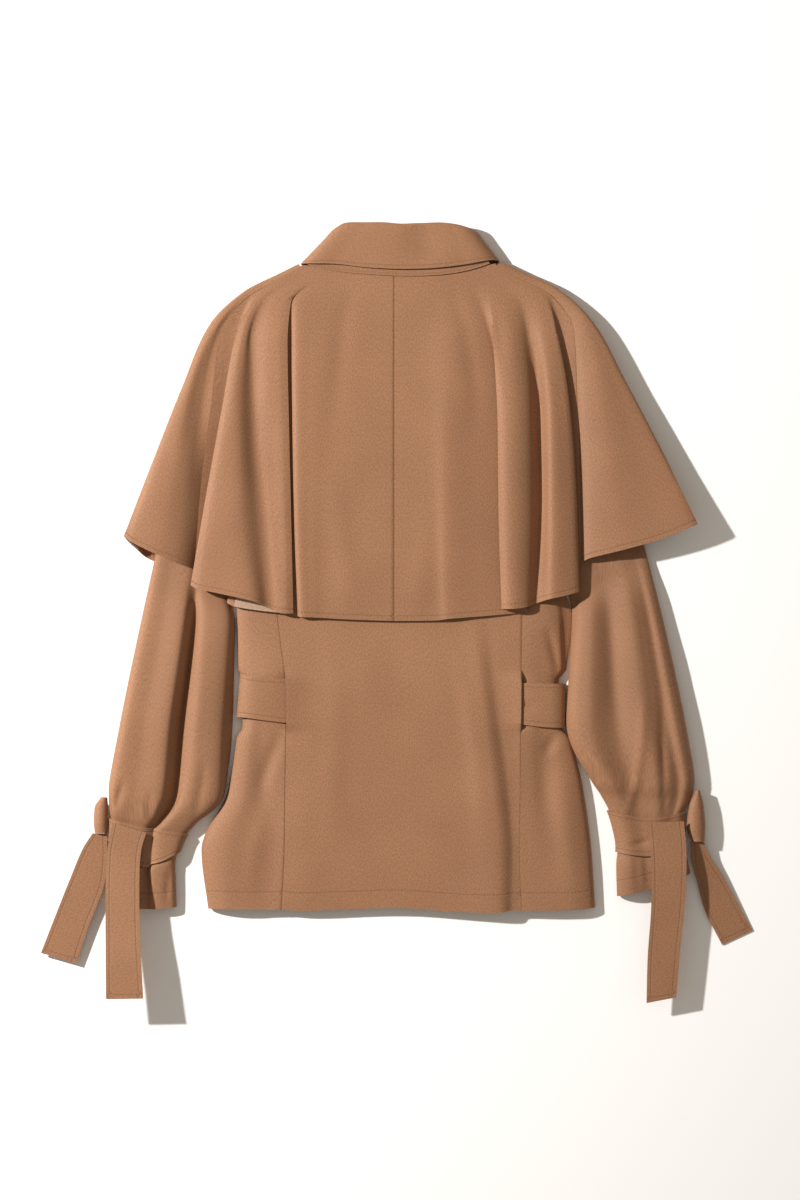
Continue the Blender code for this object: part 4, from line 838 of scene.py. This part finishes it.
def fabric(name, colour, roughness, pitch, relief):
    """Woven cloth: a fine twill, a grain, an uneven dye, and stitch grooves darkened with painted shade."""
    finish = plain(name, colour, roughness)
    tree = finish.node_tree
    shader = tree.nodes["Principled BSDF"]
    shader.inputs["Sheen Weight"].default_value = SHEEN
    shader.inputs["Sheen Roughness"].default_value = SHEEN_ROUGHNESS
    shader.inputs["Specular IOR Level"].default_value = SPECULAR

    def node(kind, links=(), inputs=(), **settings):
        """A new node. `links` and `inputs` are pairs of a socket and what it takes."""
        made = tree.nodes.new(kind)
        for key, value in settings.items():
            setattr(made, key, value)
        for socket, value in inputs:
            made.inputs[socket].default_value = value
        for socket, source in links:
            tree.links.new(source, made.inputs[socket])
        return made

    def multiplied(first, second):
        start = [("A", first)] if first else []
        colours = () if first else (("A", colour),)
        both = node(
            "ShaderNodeMix", [*start, ("B", second)], [("Factor", 1.0), *colours],
            data_type="RGBA", blend_type="MULTIPLY",
        )
        return both.outputs["Result"]

    place = node("ShaderNodeTexCoord")
    turn = ("Rotation", (0, 0, np.radians(SLANT)))
    cloth_place = [("Vector", place.outputs["UV"])]
    slanted = node("ShaderNodeMapping", cloth_place, [turn])
    drawn = node("ShaderNodeMapping", cloth_place, [turn, ("Scale", GRAIN_DRAWN)])
    twill = node(
        "ShaderNodeTexWave", [("Vector", slanted.outputs["Vector"])],
        [("Scale", WAVE / pitch), ("Distortion", TWILL_WAVER)], wave_type="BANDS",
    )
    grain = node(
        "ShaderNodeTexNoise", [("Vector", drawn.outputs["Vector"])],
        [("Scale", GRAIN_SCALE), ("Detail", 2.0)],
    )
    dye = node(
        "ShaderNodeTexNoise", [("Vector", place.outputs["Object"])],
        [("Scale", DYE_SCALE), ("Detail", 4.0)],
    )
    toned = None
    for pattern, row in zip((dye, grain, twill), TONES, strict=True):
        tone = node("ShaderNodeValToRGB", [("Fac", pattern.outputs["Fac"])])
        ends = zip(tone.color_ramp.elements, (TONE_FROM, TONE_TO), ("dark", "light"), strict=True)
        for element, position, column in ends:
            element.position = position
            element.color = (row[column], row[column], row[column], 1)
        toned = multiplied(toned, tone.outputs["Color"])

    stitch = node("ShaderNodeAttribute", attribute_name="stitch")
    size = node("ShaderNodeMath", [(0, stitch.outputs["Fac"])], operation="ABSOLUTE")
    groove = node(
        "ShaderNodeMapRange", [("Value", size.outputs["Value"])],
        [("From Min", GROOVE_FROM), ("From Max", GROOVE_TO)], interpolation_type="SMOOTHSTEP",
    )
    # Painted shade: the base colour is darkened along each stitch groove, where shade would fall in the
    # recess.
    painted_groove_shade = node(
        "ShaderNodeMapRange", [("Value", groove.outputs["Result"])], [("To Min", GROOVE_PAINTED_SHADE)]
    )
    tree.links.new(multiplied(toned, painted_groove_shade.outputs["Result"]), shader.inputs["Base Color"])

    weave = node(
        "ShaderNodeBump", [("Height", twill.outputs["Fac"])],
        [("Strength", TWILL_BUMP), ("Distance", relief)],
    )
    sunk = node(
        "ShaderNodeBump",
        [("Height", groove.outputs["Result"]), ("Normal", weave.outputs["Normal"])],
        [("Strength", GROOVE_BUMP), ("Distance", GROOVE_DEPTH)],
    )
    tree.links.new(sunk.outputs["Normal"], shader.inputs["Normal"])
    return finish


# ---------------------------------------------------------------- stitches

STITCH_LENGTH = 0.0026
STITCH_PITCH = 0.0036
STITCH_WIDTH = 0.0005
STITCH_SINK = 0.55
STITCH_REACH = 0.001


def at_length(length, values, at):
    """The place or direction at a length along a path."""
    return np.array([np.interp(at, length, values[:, axis]) for axis in range(3)])


def edge_path(grid, edge, distance):
    """The line across a grid at a distance in from one of its edges, and its normals."""
    normal = facing(grid)
    if edge == "last":
        grid, normal = grid.transpose(1, 0, 2), normal.transpose(1, 0, 2)
    if edge in ("last", "end"):
        grid, normal = grid[:, ::-1], normal[:, ::-1]
    length = run_lengths(grid, 1)
    path = [at_length(length[k], grid[k], distance) for k in range(len(grid))]
    up = [at_length(length[k], normal[k], distance) for k in range(len(grid))]
    return np.array(path), np.array(up)


def topstitch(name, runs, finish):
    """Rows of single stitches, copied from one, along each path and on the side that shows."""
    bpy.ops.object.select_all(action="DESELECT")
    bpy.ops.mesh.primitive_uv_sphere_add(segments=6, ring_count=4, radius=0.5)
    first = active()
    first.scale = (STITCH_LENGTH, STITCH_WIDTH, STITCH_WIDTH)
    bpy.ops.object.transform_apply(location=False, rotation=False, scale=True)
    bpy.ops.object.shade_smooth()
    first.data.materials.append(finish)
    copies = []
    for path, up in runs:
        length = np.concatenate([[0], np.cumsum(np.linalg.norm(np.diff(path, axis=0), axis=1))])
        for at in np.arange(STITCH_PITCH / 2, length[-1], STITCH_PITCH):
            out = at_length(length, up, at)
            out = out * np.sign(out[2])
            out = out / np.linalg.norm(out)
            along = at_length(length, path, at + STITCH_REACH)
            along = along - at_length(length, path, at - STITCH_REACH)
            along = along - out * (along @ out)
            along = along / np.linalg.norm(along)
            rise = SHELL / 2 + STITCH_WIDTH * (0.5 - STITCH_SINK)
            here = at_length(length, path, at) + out * rise
            side = np.cross(out, along)
            one = first.copy()
            one.data = first.data.copy()
            one.matrix_world = Matrix(
                [[along[k], side[k], out[k], here[k]] for k in range(3)] + [[0, 0, 0, 1]]
            )
            bpy.context.collection.objects.link(one)
            copies.append(one)
    bpy.data.objects.remove(first, do_unlink=True)
    bpy.ops.object.select_all(action="DESELECT")
    for one in copies:
        one.select_set(True)
    bpy.context.view_layer.objects.active = copies[0]
    bpy.ops.object.join()
    row = active()
    bpy.ops.object.transform_apply(location=True, rotation=True, scale=True)
    row.name = name
    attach(row, "root")


# ---------------------------------------------------------------- the cut

# The cut of what shows: width and length in millimetres, area in square metres.
CUTS = table("width length area", """
cape_back_left           405 390 0.098
cape_back_right          315 380 0.089
cape_front_left          340 365 0.074
cape_front_right         405 355 0.082
cape_lining_flare         53  18 0.0009
cape_lining_corner        17  18 0.0003
cape_neck_binding        195  13 0.0021
collar                   340 117 0.0245
back_centre              267 683 0.168
back_side_left           102 680 0.039
back_side_right           97 680 0.039
front_left               233 670 0.133
front_right              240 670 0.138
belt                     705  46 0.032
sleeve_left              505 630 0.110
sleeve_right             508 610 0.103
cuff_band_left           195  43 0.0061
cuff_band_right          185  45 0.0070
cuff_knot_left            44  39 0.0015
cuff_knot_right           51  56 0.0022
tie_tail_left_straight   185  39 0.0065
tie_tail_left_slanted    142  39 0.0047
tie_tail_right_straight  190  38 0.0065
tie_tail_right_slanted   116  36 0.0032
""")


def sheet(node, grid, finish, held, slot="gabardine", **shape):
    """The cloth of one node, which takes the place of the node's hidden solid."""
    piece = cloth(f"{node}_cloth", grid, finish, **shape)
    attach(piece, "root")
    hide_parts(node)


# ---------------------------------------------------------------- the pieces' nets

# Where a panel meets the next one: it reaches into the seam, or turns down beside it.
SEAM_REACH = 0.0008
SEAM_WIDTH = 0.0006
SEAM_DROP = 0.0009
# A turned seam has a groove this far in, which the material darkens with painted shade.
SEAM_LINE = 0.0003


def sewn(grid, edges):
    """The grid with its first and last line brought to their seams: `flush` meets the next piece
    level with it, `turned` is drawn down into the seam and `plain` stays."""
    lines = list(grid)
    for edge, at, step in zip(edges, (0, -1), (1, -1), strict=True):
        out = lines[at] - lines[at + step]
        out = out / np.linalg.norm(out, axis=1, keepdims=True)
        if edge == "flush":
            lines[at] = lines[at] + out * SEAM_REACH
        elif edge == "turned":
            end = lines[at].copy()
            end[:, 2] -= SEAM_DROP
            lines[at] = lines[at] - out * SEAM_WIDTH
            lines.insert(0 if at == 0 else len(lines), end)
    return np.stack(lines)


def seam_lines(edges):
    """How far in from a panel's sides the groove of each turned seam lies, where painted shade darkens it.
    """
    return [SEAM_LINE * (edge == "turned") for edge in edges]


# The cape's sections are closer together where it lies level under its binding.
LEVEL = CAPE_SHARES[1]
CAPE_AT = np.concatenate([np.linspace(0, LEVEL, 5)[:-1], np.linspace(LEVEL, 1, 92)])
NECK_REACH = 0.003


def cape_net(rows, edges, neck_reach=0.0):
    """A piece of the cape; a back piece reaches up under the collar by `neck_reach`."""
    grid = creased(net(cape_lines(rows), CAPE_SHARES, CAPE_AT))
    grid[:, 0, 1] += neck_reach
    return sewn(grid, edges)


LINING_SHELL = 0.0008
LINING_SECTIONS = 10


def lining_net(rows, first, last, depth):
    """The lining lies on the cape's own points between two fold lines, up from the hem."""
    at = np.linspace(1 - depth, LINING_HEM, LINING_SECTIONS)
    at = np.unique(np.concatenate([CAPE_AT[:-1], at]))
    grid = creased(net(cape_lines(rows), CAPE_SHARES, at))
    hems = cape_lines(rows)[:, -1]
    names = [row["name"] for row in rows]
    ends = [
        int(np.argmin(np.linalg.norm((grid[:, -1] - hems[names.index(each)])[:, :2], axis=1)))
        for each in (first, last)
    ]
    normal = facing(grid)
    normal = normal * np.sign(normal[..., 2:3])
    start = int(np.searchsorted(at, 1 - depth))
    return (grid + normal * LINING_RISE)[ends[0] : ends[1] + 1, start:]


# The levels of the body's sections: close together at the shoulder, then even down to the hem.
SHOULDER_LEVELS = (270, 271.2, 274.5, 278.5)
BODY_AT = np.concatenate([SHOULDER_LEVELS, np.arange(283, 908, 4.3), [910]])


def body_net(rows, edges, on_floor=False):
    lines = np.stack([body_line(row, BODY_AT, on_floor) for row in rows])
    stations = np.arange(len(BODY_AT), dtype=float)
    return sewn(creased(net(lines, stations, stations)), edges)


def strip_net(rows, ends, sections):
    """A strip whose rows go along it; `ends` names the columns of its two edges."""
    lines = [[spot(row[f"{end}_u"], row[f"{end}_v"], row["z"]) for end in ends] for row in rows]
    return creased(net(np.array(lines), (0.0, 1.0), np.linspace(0, 1, sections)))


SLEEVE_SECTIONS = 150
BAND_SECTIONS = 33
BAND_TRIM = 4


def sleeve_net(lines, at):
    stations = np.arange(lines.shape[1], dtype=float)
    return net(lines, stations, at, closed=True)


def band_net(lines):
    """The tie round the sleeve: the sleeve's own points, moved out by a ply and a little air."""
    grid = sleeve_net(lines, np.linspace(*BAND_BETWEEN, BAND_SECTIONS))
    normal = facing(grid, closed=True)
    middle = grid.mean(axis=0, keepdims=True)
    outward = np.sign(np.sum(normal * (grid - middle)))
    grid = (grid + normal * outward * BAND_LIFT)[:, BAND_TRIM:-BAND_TRIM]
    grid[..., 2] = np.maximum(grid[..., 2], FLOOR_Z * MM)
    return creased(grid, closed=True)


def knot_net(rows):
    lines = []
    for angle in np.radians(np.arange(0, 360, KNOT_STEP)):
        lines.append([
            spot(
                row["u"] + row["half_width"] * np.cos(angle),
                row["v"],
                row["z"] + row["half_height"] * np.sin(angle),
            )
            for row in rows
        ])
    stations = np.arange(len(rows), dtype=float)
    at = np.linspace(0, len(rows) - 1, KNOT_SECTIONS)
    return net(np.array(lines), stations, at, cell=KNOT_CELL, closed=True)


# ---------------------------------------------------------------- the pieces

# How far in from its edge each row of stitches lies.
CAPE_HEM_STITCH = 0.0048
BINDING_STITCH = 0.0022
COLLAR_STITCH = 0.0034
BELT_STITCH = 0.0045
TAIL_STITCH = 0.0042
BODY_HEM_STITCH = 0.0185
SLEEVE_HEM_STITCH = 0.0165

BINDING_SECTIONS = 6
BELT_SECTIONS = 14
TAIL_SECTIONS = 12
STAND_AT = np.linspace(0, 0.44, 12)
ROLL_AT = np.linspace(0.45, 0.56, 9)
FALL_AT = np.linspace(0.6, 1, 14)


def cape(gabardine, satin, thread):
    runs = []
    for node, rows, edges in (
        ("cape_back_left", CAPE_BACK_LEFT, ("turned", "flush")),
        ("cape_back_right", CAPE_BACK_RIGHT, ("flush", "turned")),
        ("cape_front_left", CAPE_FRONT_LEFT, ("flush", "plain")),
        ("cape_front_right", CAPE_FRONT_RIGHT, ("flush", "plain")),
    ):
        grid = cape_net(rows, edges, NECK_REACH if "back" in node else 0.0)
        sheet(node, grid, gabardine, "laid", stitched=(*seam_lines(edges), 0, CAPE_HEM_STITCH))
        runs.append(edge_path(grid, "end", CAPE_HEM_STITCH))
    topstitch("cape_hem_stitches", runs, thread)
    for node, rows, first, last, depth in (
        ("cape_lining_flare", CAPE_BACK_LEFT, "middle_end", "middle", 0.05),
        ("cape_lining_corner", CAPE_FRONT_LEFT, "under_rim", "under_fall", 0.06),
    ):
        grid = lining_net(rows, first, last, depth)
        sheet(node, grid, satin, "laid", slot="lining_satin", thickness=LINING_SHELL)


def neck(gabardine, thread):
    binding = strip_net(BINDING, ("inner", "outer"), BINDING_SECTIONS)
    sheet("cape_neck_binding", binding, gabardine, "laid", stitched=(0, 0, 0, BINDING_STITCH))
    at = np.concatenate([STAND_AT, ROLL_AT, FALL_AT])
    collar = creased(net(collar_lines(), COLLAR_PLACES, at))
    sheet("collar", collar, gabardine, "folded", stitched=(0, 0, 0, COLLAR_STITCH))
    runs = [edge_path(binding, "end", BINDING_STITCH), edge_path(collar, "end", COLLAR_STITCH)]
    topstitch("neck_stitches", runs, thread)


def body(gabardine, thread):
    runs = []
    for node, rows, edges in (
        ("back_centre", BACK_CENTRE, ("flush", "turned")),
        ("back_side_left", BACK_SIDE_LEFT, ("turned", "flush")),
        ("back_side_right", BACK_SIDE_RIGHT, ("flush", "flush")),
    ):
        grid = body_net(rows, edges)
        sheet(node, grid, gabardine, "laid", stitched=(*seam_lines(edges), 0, BODY_HEM_STITCH))
        runs.append(edge_path(grid, "end", BODY_HEM_STITCH))
    for node, rows in (("front_left", FRONT_LEFT), ("front_right", FRONT_RIGHT)):
        grid = body_net(rows, ("flush", "plain"), on_floor=True)
        sheet(node, grid, gabardine, "laid")
    topstitch("body_hem_stitches", runs, thread)


def belt(gabardine, thread):
    grid = strip_net(BELT, ("top", "bottom"), BELT_SECTIONS)
    sheet("belt", grid, gabardine, "laid", stitched=(0, 0, BELT_STITCH, BELT_STITCH))
    runs = [edge_path(grid, edge, BELT_STITCH) for edge in ("start", "end")]
    topstitch("belt_stitches", runs, thread)


def sleeves(gabardine):
    for side, stations, ring, side_rows, away in (
        ("left", SLEEVE_LEFT, RING_LEFT, BACK_SIDE_LEFT, -1),
        ("right", SLEEVE_RIGHT, RING_RIGHT, BACK_SIDE_RIGHT, 1),
    ):
        lines = sleeve_lines(stations, ring, side_rows, away)
        at = np.linspace(0, len(stations) - 1, SLEEVE_SECTIONS)
        grid = creased(sleeve_net(lines, at), closed=True)
        hem = (0, 0, 0, SLEEVE_HEM_STITCH)
        sheet(f"sleeve_{side}", grid, gabardine, "gathered", closed=True, stitched=hem)
        band = band_net(lines)
        edges = (0, 0, TAIL_STITCH, TAIL_STITCH)
        sheet(f"cuff_band_{side}", band, gabardine, "gathered", closed=True, stitched=edges)


def ties(gabardine, thread):
    for node, rows in KNOTS.items():
        sheet(node, knot_net(rows), gabardine, "folded", closed=True)
    runs = []
    for node, rows in TIE_TAILS.items():
        grid = strip_net(rows, ("left", "right"), TAIL_SECTIONS)
        edges = (0, TAIL_STITCH, TAIL_STITCH, TAIL_STITCH)
        sheet(node, grid, gabardine, "laid", stitched=edges)
        runs += [edge_path(grid, edge, TAIL_STITCH) for edge in ("start", "end", "last")]
    topstitch("tie_stitches", runs, thread)


# ---------------------------------------------------------------- floor, light and camera

PHOTO_MIDDLE_U = 400.0
PHOTO_MIDDLE_V = 600.0
PHOTO_HEIGHT = 1200
CAMERA_HEIGHT = 6.0
FOCUS_Z = 0.014
SENSOR = 36.0
CLIP_END = 100.0
FLOOR_SIZE = 12.0
FLOOR_DROP = 0.0002
LAMP_HEIGHT = 37.0
LAMP_FROM = (-0.93, 0.37)
LAMP_AWAY = 2.8
LAMP_WIDTH = 0.125
LAMP_POWER = 125.0
LAMP_COLOUR = (1.0, 0.985, 0.97)
SKY_COLOUR = (1.0, 0.91, 0.79, 1)
SKY_STRENGTH = 0.37


def stage():
    """A white floor, one small lamp at the upper left and a camera straight above."""
    bpy.ops.object.select_all(action="DESELECT")
    bpy.ops.mesh.primitive_plane_add(size=FLOOR_SIZE, location=(0, 0, -FLOOR_DROP))
    floor = active()
    floor.name = "floor"
    floor.data.materials.append(plain("floor_white", **FLOOR))

    level = np.hypot(*LAMP_FROM)
    direction = Vector((*LAMP_FROM, level * np.tan(np.radians(LAMP_HEIGHT)))).normalized()
    bpy.ops.object.light_add(type="AREA", location=direction * LAMP_AWAY)
    lamp = active()
    lamp.rotation_euler = direction.to_track_quat("Z", "Y").to_euler()
    lamp.data.shape = "DISK"
    lamp.data.size = LAMP_WIDTH
    lamp.data.energy = LAMP_POWER
    lamp.data.color = LAMP_COLOUR

    world = bpy.data.worlds.new("studio")
    bpy.context.scene.world = world
    world.use_nodes = True
    sky = world.node_tree.nodes["Background"]
    sky.inputs["Color"].default_value = SKY_COLOUR
    sky.inputs["Strength"].default_value = SKY_STRENGTH

    middle = spot(PHOTO_MIDDLE_U, PHOTO_MIDDLE_V, 0.0)
    bpy.ops.object.camera_add(location=(middle[0], middle[1], CAMERA_HEIGHT), rotation=(0, 0, 0))
    camera = active()
    camera.data.sensor_width = SENSOR
    camera.data.lens = SENSOR * (CAMERA_HEIGHT - FOCUS_Z) / (PHOTO_HEIGHT * STEP)
    camera.data.clip_end = CLIP_END
    bpy.context.scene.camera = camera
    bpy.context.scene.view_settings.view_transform = "Standard"


def main():
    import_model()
    gabardine = fabric("gabardine", **GABARDINE, **GABARDINE_WEAVE)
    satin = fabric("lining_satin", **SATIN, **SATIN_WEAVE)
    thread = plain("thread", **THREAD)
    cape(gabardine, satin, thread)
    neck(gabardine, thread)
    body(gabardine, thread)
    belt(gabardine, thread)
    sleeves(gabardine)
    ties(gabardine, thread)
    stage()


main()
